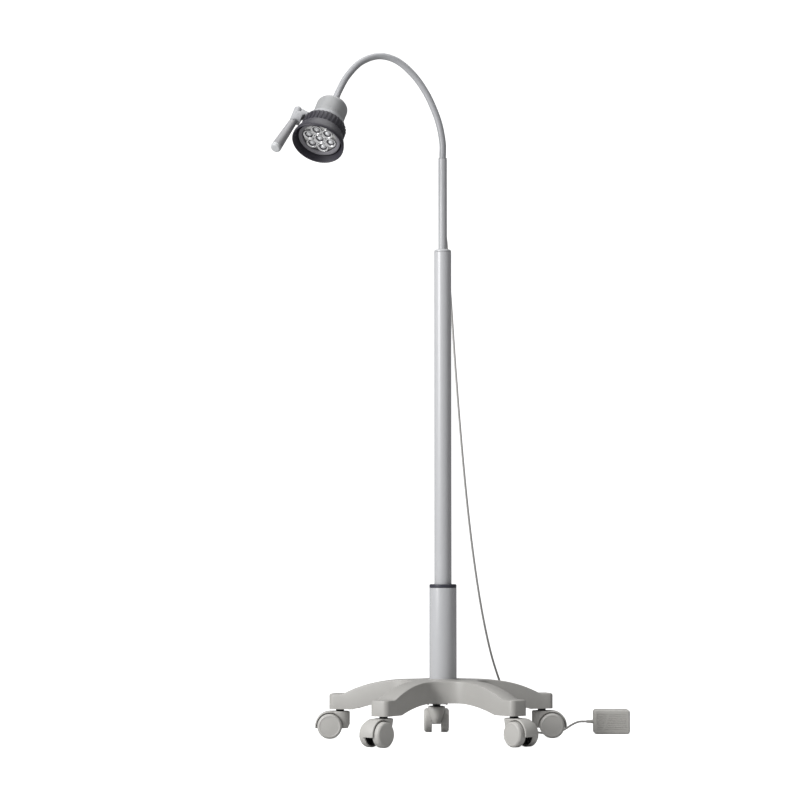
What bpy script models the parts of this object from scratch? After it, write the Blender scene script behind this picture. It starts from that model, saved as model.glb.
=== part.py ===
"""Examination lamp on a five-castor stand, in metres, +Z up, floor at z = 0.

The stand, column and lamp pole share one upright axis. A flexible neck carries
the lamp head, which points down and forward. The lead leaves the back of the
pole and runs down to a plug-in power supply that lies on the floor.
Everything is modelled about the column's axis, then moved so that the middle
of the overall footprint, without the lead, is at the origin.
"""

import math

import bmesh
import bpy
from mathutils import Matrix, Vector

# Clearances
GAP = 0.0003            # between pieces that touch
WALL = 0.003            # moulded walls of the base

# Castors
WHEEL_R = 0.0275
WHEEL_INNER_Y = 0.0105  # inner and outer side of one wheel, from the castor's middle
WHEEL_OUTER_Y = 0.0290
CASTOR_TRAIL = 0.0225
HOOD_R = 0.0330
HOOD_HALF_WIDTH = 0.0165
HOOD_NECK_R = 0.0220
HOOD_WEB = 0.0098       # half the web between the wheels
HOOD_TAPER = (0.50, 0.94)   # the hood's neck across its foot and its top, to its depth
AXLE_R = 0.003
WHEEL_FACE = 0.003      # solid outer disc that covers the axle's end
WHEEL_CLEARANCE = 0.0028   # dark gap between a wheel and the rim of its hood
HOOD_EDGE = 0.0015
STEM_R = 0.0055
STEM_FOOT_R = 0.0050     # the part inside the hood
STEM_COLLAR_R = 0.0090
STEM_DEPTH = 0.024      # into the base
STEM_FOOT = 0.0100      # into the hood
NECK_GAP = 0.0049       # hood to base, filled by the stem's dark collar
CASTOR_YAWS = (0.0, 90.0, 180.0, 230.0, 310.0)

# Five-arm base
ARMS = 5
BASE_TURN = 20.7        # degrees, first arm from +X
STEM_CIRCLE = 0.237
ARM_HALF_WIDTH = 0.0228
ARM_CORNER = 0.012
CROTCH_R = 0.080
CROTCH_POWER = 2.6      # how quickly an arm narrows from the hub
ARM_END = 0.021         # past the stem
HUB_TOP = 0.1330
HUB_UNDER = 0.0850
SOCKET_HEIGHT = 0.0340
ARM_FALL = (0.075, 0.225, 2.3)   # start and end of the fall along the top, and its power
ARM_RISE = (0.080, 0.200, 2.0)   # the same along the underside
EDGE_CHAMFER = 0.004
HUB_BOSS_R = 0.036
STEM_BOSS_R = 0.013
BASE_BOLT_R = 0.004
BASE_BOLT_HEAD_R = 0.009
BASE_BOLT_HEAD = 0.006

# Tubes
BASE_TUBE_R = 0.030
BASE_TUBE_WALL = 0.002
BASE_TUBE_FOOT = 0.0945
BASE_TUBE_FLOOR = 0.004
BASE_TUBE_TOP = 0.3350
GUIDE_HEIGHT = 0.008
GUIDE_DEPTH = 0.040
COLUMN_R = 0.019
COLUMN_WALL = 0.002
COLUMN_FOOT = 0.1060
COLUMN_TOP = 1.0855
FOOT_BUSH_HEIGHT = 0.030
CAP_HEIGHT = 0.006
CAP_DEPTH = 0.045
POLE_R = 0.0095
POLE_WALL = 0.0015
POLE_TOP = 1.2900
BUSH_DEPTH = 0.032
BUSH_FLANGE = 0.0015

# Flexible neck
NECK_R = 0.0068
NECK_JOINTS = 5
BALL_R = 0.0046
CUP_GAP = 0.0005        # round a ball, all the way through its swing
SHOULDER = 0.0032       # clear of the link before it when bent
PIN_R = 0.0060
PIN_DEPTH = 0.028
FERRULE_R = 0.0085
FERRULE_LENGTH = 0.012
SHANK_LENGTH = 0.008
NECK_ROUTE = (
    (0.0000, 0.0000, 1.2920), (0.0000, 0.0000, 1.3230), (-0.0065, 0.0000, 1.3615),
    (-0.0180, 0.0000, 1.3965), (-0.0370, -0.0008, 1.4370), (-0.0650, -0.0035, 1.4765),
    (-0.1020, -0.0090, 1.5075), (-0.1420, -0.0170, 1.5165), (-0.1810, -0.0300, 1.5010),
    (-0.2105, -0.0465, 1.4680), (-0.2290, -0.0660, 1.4315), (-0.2415, -0.0925, 1.3950),
)

# Lamp head, along its own axis from the back of the housing
HEAD_AXIS = (-0.2567, -0.5752, -0.7766)
HANDLE_SIDE = (-0.9367, -0.0499, 0.3466)
HOUSING_R = 0.035
HOUSING_WALL = 0.0025
HOUSING_ROUND = 0.011
HOUSING_LENGTH = 0.066
BARREL_R = 0.044
BARREL_WALL = 0.0025
BARREL_FLOOR = 0.003
BARREL_LENGTH = 0.038
BARREL_WIRE_R = 0.012
RING_REAR_R = 0.0485
RING_FRONT_R = 0.058
RING_START = 0.0683
RING_RIBBED = 0.024
RING_LENGTH = 0.0567
RING_LIP = 0.0025
RING_CLEARANCE = 0.0004  # turning on the barrel
RING_STEP = 0.0007       # step from the ribs up to the flare
FLARE = ((0.007, 0.25), (0.018, 0.75))   # (past the ribs, share of the flare)
SINK_LENGTH = 0.022
SINK_CORE_R = 0.014
SINK_PLATE = 0.006
SINK_FINS = 12
FIN_THICKNESS = 0.0024
BOARD_THICKNESS = 0.0016
LENS_R = 0.0384
LENS_DEPTH = 0.0143
LENS_PLATE = 0.0025
LENSLET_R = 0.0100
LENSLET_FOOT_R = 0.0042
LENSLET_CIRCLE = 0.0252
LENSLET_DISH = 0.0010
LED_R = 0.0030
LED_HEIGHT = 0.0016
HOLDER_R = 0.0472
HOLDER_HEIGHT = 0.007
COLLAR_WALL = 0.007     # outside the housing
COLLAR_WIDTH = 0.0107
HANDLE_OFFSET = 0.067
BOSS_R = 0.0105
BOSS_HALF = 0.020
ARM_WIDTH = 0.024
BUTTON_R = 0.0075
BUTTON_TRAVEL = 0.002
BUTTON_STAND = 0.0045
BUTTON_DEPTH = 0.008
GRIP_SPLAY = 8.5
GRIP_LENGTH = 0.094
GRIP_TOP_R = 0.0086
GRIP_END_R = 0.0118
GRIP_STUD_R = 0.004
GRIP_STUD = 0.012
GRIP_CAP = 0.009
CAP_STUD = 0.009

# Lead and power supply
CORD_D = 0.0048
CORD_EXIT = 1.1580      # height of the grommet on the pole
GROMMET_R = 0.0055
GROMMET_LENGTH = 0.013
GROMMET_SPIGOT = 0.004
CORD_ROUTE = (
    (0.0000, 0.0230, 1.1580), (0.0001, 0.0340, 1.1579), (0.0010, 0.0440, 1.1560),
    (0.0026, 0.0520, 1.1505), (0.0046, 0.0575, 1.1410), (0.0067, 0.0602, 1.1280),
    (0.0100, 0.0615, 1.1030), (0.0185, 0.0630, 0.9880), (0.0284, 0.0650, 0.8400),
    (0.0398, 0.0690, 0.6920), (0.0534, 0.0760, 0.5440), (0.0682, 0.0845, 0.4157),
    (0.0860, 0.0955, 0.2973), (0.1063, 0.1083, 0.1987), (0.1264, 0.1213, 0.1316),
    (0.1462, 0.1340, 0.0820), (0.1661, 0.1466, 0.0470), (0.1857, 0.1589, 0.0242),
    (0.2050, 0.1711, 0.0102), (0.2199, 0.1805, 0.0044), (0.2360, 0.1905, 0.0027),
    (0.2530, 0.1992, 0.0026), (0.2700, 0.2052, 0.0052), (0.2850, 0.2080, 0.0125),
    (0.2985, 0.2090, 0.0210), (0.3130, 0.2090, 0.0268), (0.3300, 0.2090, 0.0275),
)
CORD_POINTS = 72
SUPPLY_SIZE = (0.082, 0.046, 0.055)   # along the lead, front to back, standing height
SUPPLY_SPLIT = 0.018                  # front shell's depth
SUPPLY_WALL = 0.0022
SUPPLY_ROUND = 0.006
RELIEF_LENGTH = 0.016
RELIEF_R = 0.0045
PLUG_PIN_R = 0.0024
PLUG_PIN_LENGTH = 0.019
PLUG_PIN_SPACING = 0.019
PIN_ROOT = 0.006                      # inside the case
RELIEF_ROOT = 0.005
CORE_SIZE = (0.046, 0.028, 0.040)

# Facets round each kind of piece
ROUND = 24
POLE_SIDES = 20
WHEEL_SIDES = 20
SMALL = 14
TINY = 10
RIB_START = 0.030
RIB_HALF = 0.0015
NECK_RINGS = 6
ARM_STATIONS = 9

TURN = 2 * math.pi
MOUTH = 0.002           # how far a cutter stands out of an open mouth
OVER = 0.01             # how far a cutter or a boss runs past the surface it meets
EDGE = 0.001            # edge break on turned and moulded pieces
OVERLAP = 0.0005           # how far joined shapes reach into each other


def material(name, colour, roughness, metallic=0.0):
    made = bpy.data.materials.new(name)
    made.use_nodes = True
    shader = made.node_tree.nodes["Principled BSDF"]
    shader.inputs["Base Color"].default_value = (*colour, 1.0)
    shader.inputs["Roughness"].default_value = roughness
    shader.inputs["Metallic"].default_value = metallic
    made.diffuse_color = (*colour, 1.0)
    return made


def empty(name, parent, place):
    made = bpy.data.objects.new(name, None)
    bpy.context.scene.collection.objects.link(made)
    made.parent = parent
    made.matrix_local = place
    return made


def face_outwards(bm):
    bmesh.ops.recalc_face_normals(bm, faces=bm.faces[:])
    if bm.calc_volume(signed=True) < 0:
        bmesh.ops.reverse_faces(bm, faces=bm.faces[:])


def add(name, bm, finish, parent, place=None):
    """An object from a bmesh, shaded smooth with sharp edges over 35 degrees."""
    face_outwards(bm)
    mesh = bpy.data.meshes.new(name)
    bm.to_mesh(mesh)
    bm.free()
    mesh.materials.append(finish)
    mesh.shade_smooth()
    mesh.set_sharp_from_angle(angle=math.radians(35))
    made = bpy.data.objects.new(name, mesh)
    bpy.context.scene.collection.objects.link(made)
    made.parent = parent
    made.matrix_local = place or Matrix.Identity(4)
    return made


def turned(profile, sides=24, ring=False):
    """A bmesh turned about Z from (radius, height) points; a ring's last point joins its first."""
    bm = bmesh.new()
    verts = [bm.verts.new((radius, 0.0, height)) for radius, height in profile]
    edges = [bm.edges.new(pair) for pair in zip(verts, verts[1:])]
    if ring:
        edges.append(bm.edges.new((verts[-1], verts[0])))
    bmesh.ops.spin(bm, geom=verts + edges, cent=(0, 0, 0), axis=(0, 0, 1), angle=TURN,
                   steps=sides, use_merge=True)
    bmesh.ops.remove_doubles(bm, verts=bm.verts[:], dist=1e-6)
    return bm


def extruded(outline, low, high):
    """A bmesh of an XY outline raised from low to high."""
    bm = bmesh.new()
    face = bm.faces.new([bm.verts.new((x, y, low)) for x, y in outline])
    raised = bmesh.ops.extrude_face_region(bm, geom=[face])
    top = [v for v in raised["geom"] if isinstance(v, bmesh.types.BMVert)]
    bmesh.ops.translate(bm, verts=top, vec=(0, 0, high - low))
    return bm


def box(size, middle):
    bm = bmesh.new()
    bmesh.ops.create_cube(bm, size=1.0)
    bmesh.ops.scale(bm, vec=size, verts=bm.verts)
    bmesh.ops.translate(bm, vec=middle, verts=bm.verts)
    return bm


def rounded_box(size, middle, radius, segments=2):
    bm = box(size, middle)
    bmesh.ops.bevel(bm, geom=bm.edges[:], offset=radius, segments=segments, affect="EDGES",
                    profile=0.5, material=-1)
    return bm


def cylinder(radius, low, high, sides=24):
    return turned([(0, low), (radius, low), (radius, high), (0, high)], sides)


def merged(*parts):
    """One bmesh that holds all the given ones."""
    whole = bmesh.new()
    for part in parts:
        mesh = bpy.data.meshes.new("loose")
        face_outwards(part)
        part.to_mesh(mesh)
        part.free()
        whole.from_mesh(mesh)
        bpy.data.meshes.remove(mesh)
    return whole


def moved(bm, place):
    bmesh.ops.transform(bm, matrix=place, verts=bm.verts)
    return bm


def combine(target, bm, operation):
    """Cuts, joins or intersects target with a helper that isn't part of the lamp."""
    helper = add(f"{target.name}_{operation.lower()}", bm, target.data.materials[0],
                 target.parent, target.matrix_basis.copy())
    helper.hide_render = True
    helper.display_type = "WIRE"
    step = target.modifiers.new(operation.title(), "BOOLEAN")
    step.operation = operation
    step.solver = "EXACT"
    step.object = helper
    return helper


def smooth_points(route, count):
    """Evenly spaced points on the smooth curve through a route's own points."""
    knots = [Vector(p) for p in route]
    knots = [2 * knots[0] - knots[1], *knots, 2 * knots[-1] - knots[-2]]
    dense = []
    for a, b, c, d in zip(knots, knots[1:], knots[2:], knots[3:]):
        for step in range(24):
            t = step / 24
            dense.append(0.5 * (2 * b + (c - a) * t + (2 * a - 5 * b + 4 * c - d) * t * t
                                + (3 * b - a - 3 * c + d) * t * t * t))
    dense.append(knots[-2])
    along = [0.0]
    for a, b in zip(dense, dense[1:]):
        along.append(along[-1] + (b - a).length)
    points = []
    index = 0
    for step in range(count):
        wanted = along[-1] * step / (count - 1)
        while index < len(dense) - 2 and along[index + 1] < wanted:
            index += 1
        share = (wanted - along[index]) / (along[index + 1] - along[index])
        points.append(dense[index].lerp(dense[index + 1], share))
    return points, along[-1]


def frame_of(origin, forward, side):
    """A matrix whose Z runs forward and whose X is the side direction squared up to it."""
    z = Vector(forward).normalized()
    x = Vector(side)
    x = (x - x.dot(z) * z).normalized()
    y = z.cross(x)
    return Matrix.Translation(origin) @ Matrix((x, y, z)).transposed().to_4x4()


# ---------------------------------------------------------------- base

def arm_half_width(reach):
    """Half an arm's width: it flares smoothly into the next arm, and is parallel further out."""
    start = CROTCH_R * math.cos(math.pi / ARMS)
    flare = CROTCH_R * math.sin(math.pi / ARMS) - ARM_HALF_WIDTH
    length = CROTCH_POWER * flare * math.tan(math.pi / ARMS)
    fade = min(1.0, (reach - start) / length)
    return ARM_HALF_WIDTH + flare * (1 - fade) ** CROTCH_POWER


def base_height(reach, inner, outer, fall):
    """Level at the hub, then an ever steeper fall to the stem socket."""
    start, end, power = fall
    share = min(1.0, max(0.0, (reach - start) / (end - start)))
    return inner + (outer - inner) * share ** power


def star(inset, top_drop, bottom_drop):
    """The five-arm body, or with an inset the hollow inside it."""
    foot = WHEEL_R + HOOD_R + NECK_GAP
    tip = STEM_CIRCLE + ARM_END
    corner = [ARM_CORNER * (1 - math.cos(math.radians(a))) for a in (0, 30, 60, 90)]
    rise = [ARM_CORNER * math.sin(math.radians(a)) for a in (0, 30, 60, 90)]
    start = CROTCH_R * math.cos(math.pi / ARMS)
    straight = tip - ARM_CORNER
    reaches = [start + (straight - start) * (i / ARM_STATIONS) ** 1.25 for i in range(ARM_STATIONS)]
    stations = [(reach, arm_half_width(reach)) for reach in reaches]
    stations += [(straight + rise[i], ARM_HALF_WIDTH - corner[i]) for i in range(4)]
    bm = bmesh.new()
    centre = [bm.verts.new((0, 0, HUB_TOP - top_drop)), bm.verts.new((0, 0, HUB_UNDER - bottom_drop))]
    crotches = {}
    for arm in range(ARMS):
        turn = Matrix.Rotation(math.radians(BASE_TURN) + TURN * arm / ARMS, 4, "Z")
        rings = []
        for index, (reach, half) in enumerate(stations):
            reach = reach - inset * (index > ARM_STATIONS)
            half = half - inset
            top = base_height(reach, HUB_TOP, foot + SOCKET_HEIGHT, ARM_FALL) - top_drop
            low = base_height(reach, HUB_UNDER, foot, ARM_RISE) - bottom_drop
            chamfer = 0.0 if inset else EDGE_CHAMFER
            ring = []
            for side in (1, -1):
                key = (arm + (side > 0)) % ARMS
                if index == 0 and key in crotches:
                    ring.append(crotches[key])
                    continue
                levels = [(half - chamfer, top)] if inset else [(half - chamfer, top), (half, top - chamfer)]
                column = [bm.verts.new(turn @ Vector((reach, side * w, z))) for w, z in levels]
                column.append(bm.verts.new(turn @ Vector((reach, side * half, low))))
                if index == 0:
                    crotches[key] = column
                ring.append(column)
            rings.append(ring)
        bm.faces.new((centre[0], rings[0][0][0], rings[0][1][0]))
        bm.faces.new((centre[1], rings[0][1][-1], rings[0][0][-1]))
        for near, far in zip(rings, rings[1:]):
            bm.faces.new((near[0][0], far[0][0], far[1][0], near[1][0]))
            bm.faces.new((near[1][-1], far[1][-1], far[0][-1], near[0][-1]))
            for side in (0, 1):
                for upper in range(len(near[side]) - 1):
                    bm.faces.new((near[side][upper], near[side][upper + 1],
                                  far[side][upper + 1], far[side][upper]))
        last = rings[-1]
        for upper in range(len(last[0]) - 1):
            bm.faces.new((last[0][upper], last[0][upper + 1], last[1][upper + 1], last[1][upper]))
    return bm


def stem_places():
    for arm in range(ARMS):
        angle = math.radians(BASE_TURN) + TURN * arm / ARMS
        yield Vector((STEM_CIRCLE * math.cos(angle), STEM_CIRCLE * math.sin(angle), 0))


def make_base(root):
    foot = WHEEL_R + HOOD_R + NECK_GAP
    base = add("star_base", star(0, 0, 0), BASE_PLASTIC, root)
    bosses = [cylinder(HUB_BOSS_R, HUB_UNDER - OVER, HUB_TOP + OVER, SMALL)]
    bores = [cylinder(BASE_BOLT_R + EDGE, HUB_UNDER - OVER, HUB_TOP + OVER, SMALL),
             cylinder(BASE_TUBE_R + GAP, BASE_TUBE_FOOT - GAP, HUB_TOP + OVER, ROUND)]
    for place in stem_places():
        bosses.append(moved(cylinder(STEM_BOSS_R, foot - 2 * OVER, HUB_TOP, TINY), Matrix.Translation(place)))
        bores.append(moved(cylinder(STEM_R + GAP, foot - OVER, foot + STEM_DEPTH + GAP, SMALL),
                           Matrix.Translation(place)))
    hollow = combine(base, star(WALL, WALL + EDGE_CHAMFER / 2, OVER), "DIFFERENCE")
    hollow.name = "base_hollow"
    combine(hollow, merged(*bosses), "DIFFERENCE")
    ribs = []
    for place in stem_places():
        length = STEM_CIRCLE - STEM_R - RIB_START
        rib = box((length, 2 * RIB_HALF, HUB_TOP - foot + 2 * OVER),
                  (RIB_START + length / 2, 0, (HUB_TOP + foot) / 2 - OVER))
        ribs.append(moved(rib, Matrix.Rotation(math.atan2(place.y, place.x), 4, "Z")))
    combine(hollow, merged(*ribs), "DIFFERENCE")
    bolt_bore, tube_bore, *stem_bores = bores
    combine(base, tube_bore, "DIFFERENCE").name = "tube_socket"
    combine(base, merged(bolt_bore, *stem_bores), "DIFFERENCE").name = "base_bores"

    add("base_tube", turned([
        (BASE_BOLT_R + GAP, BASE_TUBE_FOOT), (BASE_TUBE_R, BASE_TUBE_FOOT), (BASE_TUBE_R, BASE_TUBE_TOP),
        (BASE_TUBE_R - BASE_TUBE_WALL, BASE_TUBE_TOP),
        (BASE_TUBE_R - BASE_TUBE_WALL, BASE_TUBE_FOOT + BASE_TUBE_FLOOR),
        (BASE_BOLT_R + GAP, BASE_TUBE_FOOT + BASE_TUBE_FLOOR),
    ], ROUND, ring=True), TUBE_PAINT, root)
    add("guide_collar", turned([
        (COLUMN_R + GAP, BASE_TUBE_TOP - GUIDE_DEPTH),
        (BASE_TUBE_R - BASE_TUBE_WALL - GAP, BASE_TUBE_TOP - GUIDE_DEPTH),
        (BASE_TUBE_R - BASE_TUBE_WALL - GAP, BASE_TUBE_TOP + GAP), (BASE_TUBE_R, BASE_TUBE_TOP + GAP),
        (BASE_TUBE_R, BASE_TUBE_TOP + GUIDE_HEIGHT - EDGE),
        (BASE_TUBE_R - EDGE, BASE_TUBE_TOP + GUIDE_HEIGHT),
        (COLUMN_R + GAP, BASE_TUBE_TOP + GUIDE_HEIGHT),
    ], ROUND, ring=True), BLACK_PLASTIC, root)
    bolt_top = BASE_TUBE_FOOT + 2 * BASE_TUBE_FLOOR
    add("base_bolt", turned([
        (0, HUB_UNDER - GAP - BASE_BOLT_HEAD), (BASE_BOLT_HEAD_R, HUB_UNDER - GAP - BASE_BOLT_HEAD),
        (BASE_BOLT_HEAD_R, HUB_UNDER - GAP), (BASE_BOLT_R, HUB_UNDER - GAP), (BASE_BOLT_R, bolt_top),
        (0, bolt_top),
    ], SMALL), STEEL, root)


# ---------------------------------------------------------------- castors

def hood_outline():
    """Side view of a hood: X along the trail, Y up."""
    arc = [math.radians(a) for a in (-8, 10, 30, 50, 70, 90)]
    points = [(CASTOR_TRAIL + HOOD_R * math.cos(a), WHEEL_R + HOOD_R * math.sin(a)) for a in arc]
    return points + [
        (-0.2 * HOOD_NECK_R, WHEEL_R + HOOD_R), (-0.2 * HOOD_NECK_R, WHEEL_R),
        (CASTOR_TRAIL - 0.5 * WHEEL_R, 0.7 * WHEEL_R), (CASTOR_TRAIL, 0.7 * WHEEL_R),
    ]


def make_hood(name, parent):
    upright = Matrix.Rotation(math.pi / 2, 4, "X")
    top = WHEEL_R + HOOD_R
    hood = add(name, moved(extruded(hood_outline(), -HOOD_HALF_WIDTH, HOOD_HALF_WIDTH), upright),
               CASTOR_PLASTIC, parent)
    foot = 0.8 * WHEEL_R
    neck = turned([(0, foot), (0.80 * HOOD_NECK_R, foot), (HOOD_NECK_R, foot + 0.3 * HOOD_R),
                   (HOOD_NECK_R, top - HOOD_EDGE), (HOOD_NECK_R - HOOD_EDGE, top), (0, top)], SMALL)
    narrow, wide = HOOD_TAPER
    for vert in neck.verts:
        vert.co.y *= narrow + (wide - narrow) * (vert.co.z - foot) / (top - foot)
    combine(hood, neck, "UNION")
    wheel_room = []
    for side in (1, -1):
        room = cylinder(WHEEL_R + WHEEL_CLEARANCE, HOOD_WEB, 2 * HOOD_NECK_R, WHEEL_SIDES)
        place = Matrix.Translation((CASTOR_TRAIL, 0, WHEEL_R)) @ Matrix.Rotation(-side * math.pi / 2, 4, "X")
        wheel_room.append(moved(room, place))
    axle_bore = moved(cylinder(AXLE_R + GAP, -HOOD_HALF_WIDTH, HOOD_HALF_WIDTH, TINY),
                      Matrix.Translation((CASTOR_TRAIL, 0, WHEEL_R)) @ upright)
    stem_bore = cylinder(STEM_FOOT_R + GAP, top - STEM_FOOT - GAP, top + OVER, SMALL)
    combine(hood, merged(*wheel_room), "DIFFERENCE").name = f"{name}_wheel_room"
    combine(hood, merged(axle_bore, stem_bore), "DIFFERENCE").name = f"{name}_bores"


def wheel_mesh():
    """One wheel about its own axle, its outer face towards +Z."""
    return turned([
        (0, WHEEL_OUTER_Y - WHEEL_FACE), (AXLE_R + GAP, WHEEL_OUTER_Y - WHEEL_FACE),
        (AXLE_R + GAP, WHEEL_INNER_Y), (WHEEL_R - EDGE, WHEEL_INNER_Y), (WHEEL_R, WHEEL_INNER_Y + EDGE),
        (WHEEL_R, WHEEL_OUTER_Y - 5 * EDGE),
        (WHEEL_R - 1.5 * EDGE, WHEEL_OUTER_Y - 2 * EDGE), (WHEEL_R - 4 * EDGE, WHEEL_OUTER_Y - EDGE / 2),
        (0, WHEEL_OUTER_Y),
    ], WHEEL_SIDES)


def make_castors(root):
    hood_top = WHEEL_R + HOOD_R
    foot = hood_top + NECK_GAP
    for number, (place, yaw) in enumerate(zip(stem_places(), CASTOR_YAWS), 1):
        add(f"castor_stem_{number}", turned([
            (0, hood_top - STEM_FOOT), (STEM_FOOT_R, hood_top - STEM_FOOT),
            (STEM_FOOT_R, hood_top + GAP), (STEM_COLLAR_R, hood_top + GAP), (STEM_COLLAR_R, foot - GAP),
            (STEM_R, foot - GAP), (STEM_R, foot + STEM_DEPTH), (0, foot + STEM_DEPTH),
        ], SMALL), BLACK_PLASTIC, root, Matrix.Translation(place))
        swivel = empty(f"castor_{number}", root,
                       Matrix.Translation(place) @ Matrix.Rotation(math.radians(yaw), 4, "Z"))
        make_hood(f"castor_hood_{number}", swivel)
        axle_place = Matrix.Translation((CASTOR_TRAIL, 0, WHEEL_R))
        reach = WHEEL_OUTER_Y - WHEEL_FACE - GAP
        add(f"castor_axle_{number}", cylinder(AXLE_R, -reach, reach, TINY), STEEL, swivel,
            axle_place @ Matrix.Rotation(math.pi / 2, 4, "X"))
        for label, side in (("left", 1), ("right", -1)):
            add(f"castor_wheel_{label}_{number}", wheel_mesh(), CASTOR_PLASTIC, swivel,
                axle_place @ Matrix.Rotation(-side * math.pi / 2, 4, "X"))


# ---------------------------------------------------------------- column and pole

def make_column(root):
    inner = COLUMN_R - COLUMN_WALL
    tube_top = COLUMN_TOP - CAP_HEIGHT
    add("column_tube", turned([
        (inner, COLUMN_FOOT), (COLUMN_R, COLUMN_FOOT), (COLUMN_R, tube_top - GAP), (inner, tube_top - GAP),
    ], ROUND, ring=True), TUBE_PAINT, root)
    add("column_foot_bush", turned([
        (COLUMN_R + GAP, COLUMN_FOOT), (BASE_TUBE_R - BASE_TUBE_WALL - GAP, COLUMN_FOOT),
        (BASE_TUBE_R - BASE_TUBE_WALL - GAP, COLUMN_FOOT + FOOT_BUSH_HEIGHT),
        (COLUMN_R + GAP, COLUMN_FOOT + FOOT_BUSH_HEIGHT),
    ], ROUND, ring=True), BLACK_PLASTIC, root)
    add("column_cap", turned([
        (POLE_R + GAP, tube_top - CAP_DEPTH), (inner - GAP, tube_top - CAP_DEPTH), (inner - GAP, tube_top),
        (COLUMN_R, tube_top), (COLUMN_R, COLUMN_TOP - 4 * EDGE), (COLUMN_R - EDGE, COLUMN_TOP - EDGE),
        (COLUMN_R - 4 * EDGE, COLUMN_TOP), (POLE_R + GAP, COLUMN_TOP),
    ], ROUND, ring=True), TUBE_PAINT, root)
    pole_foot = tube_top - CAP_DEPTH
    pole = add("lamp_pole", turned([
        (POLE_R - POLE_WALL, pole_foot), (POLE_R, pole_foot), (POLE_R, POLE_TOP - GAP - BUSH_FLANGE),
        (POLE_R - POLE_WALL, POLE_TOP - GAP - BUSH_FLANGE),
    ], POLE_SIDES, ring=True), TUBE_PAINT, root)
    to_back = Matrix.Translation((0, 0, CORD_EXIT)) @ Matrix.Rotation(-math.pi / 2, 4, "X")
    combine(pole, moved(cylinder(GROMMET_SPIGOT + GAP, POLE_R / 2, 2 * POLE_R, SMALL), to_back), "DIFFERENCE")
    add("cord_grommet", turned([
        (0, POLE_R - POLE_WALL - EDGE), (GROMMET_SPIGOT, POLE_R - POLE_WALL - EDGE),
        (GROMMET_SPIGOT, POLE_R + GAP), (GROMMET_R, POLE_R + GAP), (GROMMET_R, POLE_R + 3 * EDGE),
        (0.7 * GROMMET_R, POLE_R + GROMMET_LENGTH), (0, POLE_R + GROMMET_LENGTH),
    ], SMALL), BLACK_PLASTIC, root, to_back)
    bore = PIN_R + GAP
    add("pole_top_bush", turned([
        (bore, POLE_TOP - BUSH_DEPTH), (POLE_R - POLE_WALL - GAP, POLE_TOP - BUSH_DEPTH),
        (POLE_R - POLE_WALL - GAP, POLE_TOP - BUSH_FLANGE), (POLE_R, POLE_TOP - BUSH_FLANGE),
        (POLE_R, POLE_TOP), (bore, POLE_TOP),
    ], POLE_SIDES, ring=True), BLACK_PLASTIC, root)


# ---------------------------------------------------------------- neck

class Neck:
    """The neck's centre line, with a point and a twist-free frame at any distance along it."""

    SAMPLES = 241
    END_RUN = 0.030

    def __init__(self):
        end = Vector(NECK_ROUTE[-1]) + Vector(HEAD_AXIS) * self.END_RUN
        self.points, self.length = smooth_points((*NECK_ROUTE, tuple(end)), self.SAMPLES)
        self.length -= self.END_RUN
        self.step = (self.points[1] - self.points[0]).length
        across = Vector((1, 0, 0))
        self.frames = []
        for index, point in enumerate(self.points):
            ahead = self.points[min(index + 1, self.SAMPLES - 1)]
            behind = self.points[max(index - 1, 0)]
            tangent = (ahead - behind).normalized()
            across = (across - across.dot(tangent) * tangent).normalized()
            self.frames.append((point, across.copy(), tangent.cross(across), tangent))

    def at(self, distance):
        """(point, side, other side, direction), straight on beyond either end."""
        place = min(max(distance / self.step, 0.0), self.SAMPLES - 1.001)
        index = int(place)
        share = place - index
        near, far = self.frames[index], self.frames[index + 1]
        point, side, other, along = (a.lerp(b, share) for a, b in zip(near, far))
        return point + along * min(distance, 0.0), side, other, along.normalized()

    def bend(self, bm, start, origin):
        """Moves a bmesh turned about Z onto the line, its z = 0 at start, about origin."""
        for vert in bm.verts:
            point, side, other, _ = self.at(start + vert.co.z)
            vert.co = point + side * vert.co.x + other * vert.co.y - origin
        return bm


def ball_end():
    return [(BALL_R * math.sin(math.radians(a)), -BALL_R * math.cos(math.radians(a)))
            for a in (0, 30, 60, 90, 125)] + [(NECK_R, SHOULDER)]


def cup_end(length):
    cup = BALL_R + CUP_GAP
    return [(NECK_R, length), (cup, length)] + [
        (cup * math.sin(math.radians(a)), length - cup * math.cos(math.radians(a))) for a in (60, 30, 0)]


def neck_link_profile(index, length):
    """A link from its ball or pin to its cup or ferrule, with rings enough to bend."""
    if index == 0:
        start = [(0, -PIN_DEPTH), (PIN_R, -PIN_DEPTH), (PIN_R, GAP), (POLE_R - EDGE, GAP),
                 (POLE_R - EDGE, 2.5 * EDGE), (NECK_R, 4 * EDGE)]
    else:
        start = ball_end()
    if index == NECK_JOINTS:
        body_end = length - FERRULE_LENGTH
        end = [(FERRULE_R, body_end + EDGE), (FERRULE_R, length - GAP), (PIN_R, length - GAP),
               (PIN_R, length + SHANK_LENGTH), (0, length + SHANK_LENGTH)]
        last = body_end
    else:
        end = cup_end(length)
        last = length
    first = start[-1][1]
    body = [(NECK_R, first + (last - first) * step / NECK_RINGS) for step in range(1, NECK_RINGS)]
    if index == NECK_JOINTS:
        body.append((NECK_R, body_end))
    return start + body + end


def make_neck(root, neck):
    share = neck.length / (NECK_JOINTS + 1)
    for index in range(NECK_JOINTS + 1):
        start = share * index
        origin = neck.at(start)[0]
        link = neck.bend(turned(neck_link_profile(index, share), TINY), start, origin)
        add(f"neck_link_{index}", link, SLEEVE, root, Matrix.Translation(origin))


# ---------------------------------------------------------------- head

def lens_places():
    yield Vector((0, 0, 0))
    for index in range(6):
        angle = TURN * index / 6
        yield Vector((LENSLET_CIRCLE * math.cos(angle), LENSLET_CIRCLE * math.sin(angle), 0))


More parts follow.
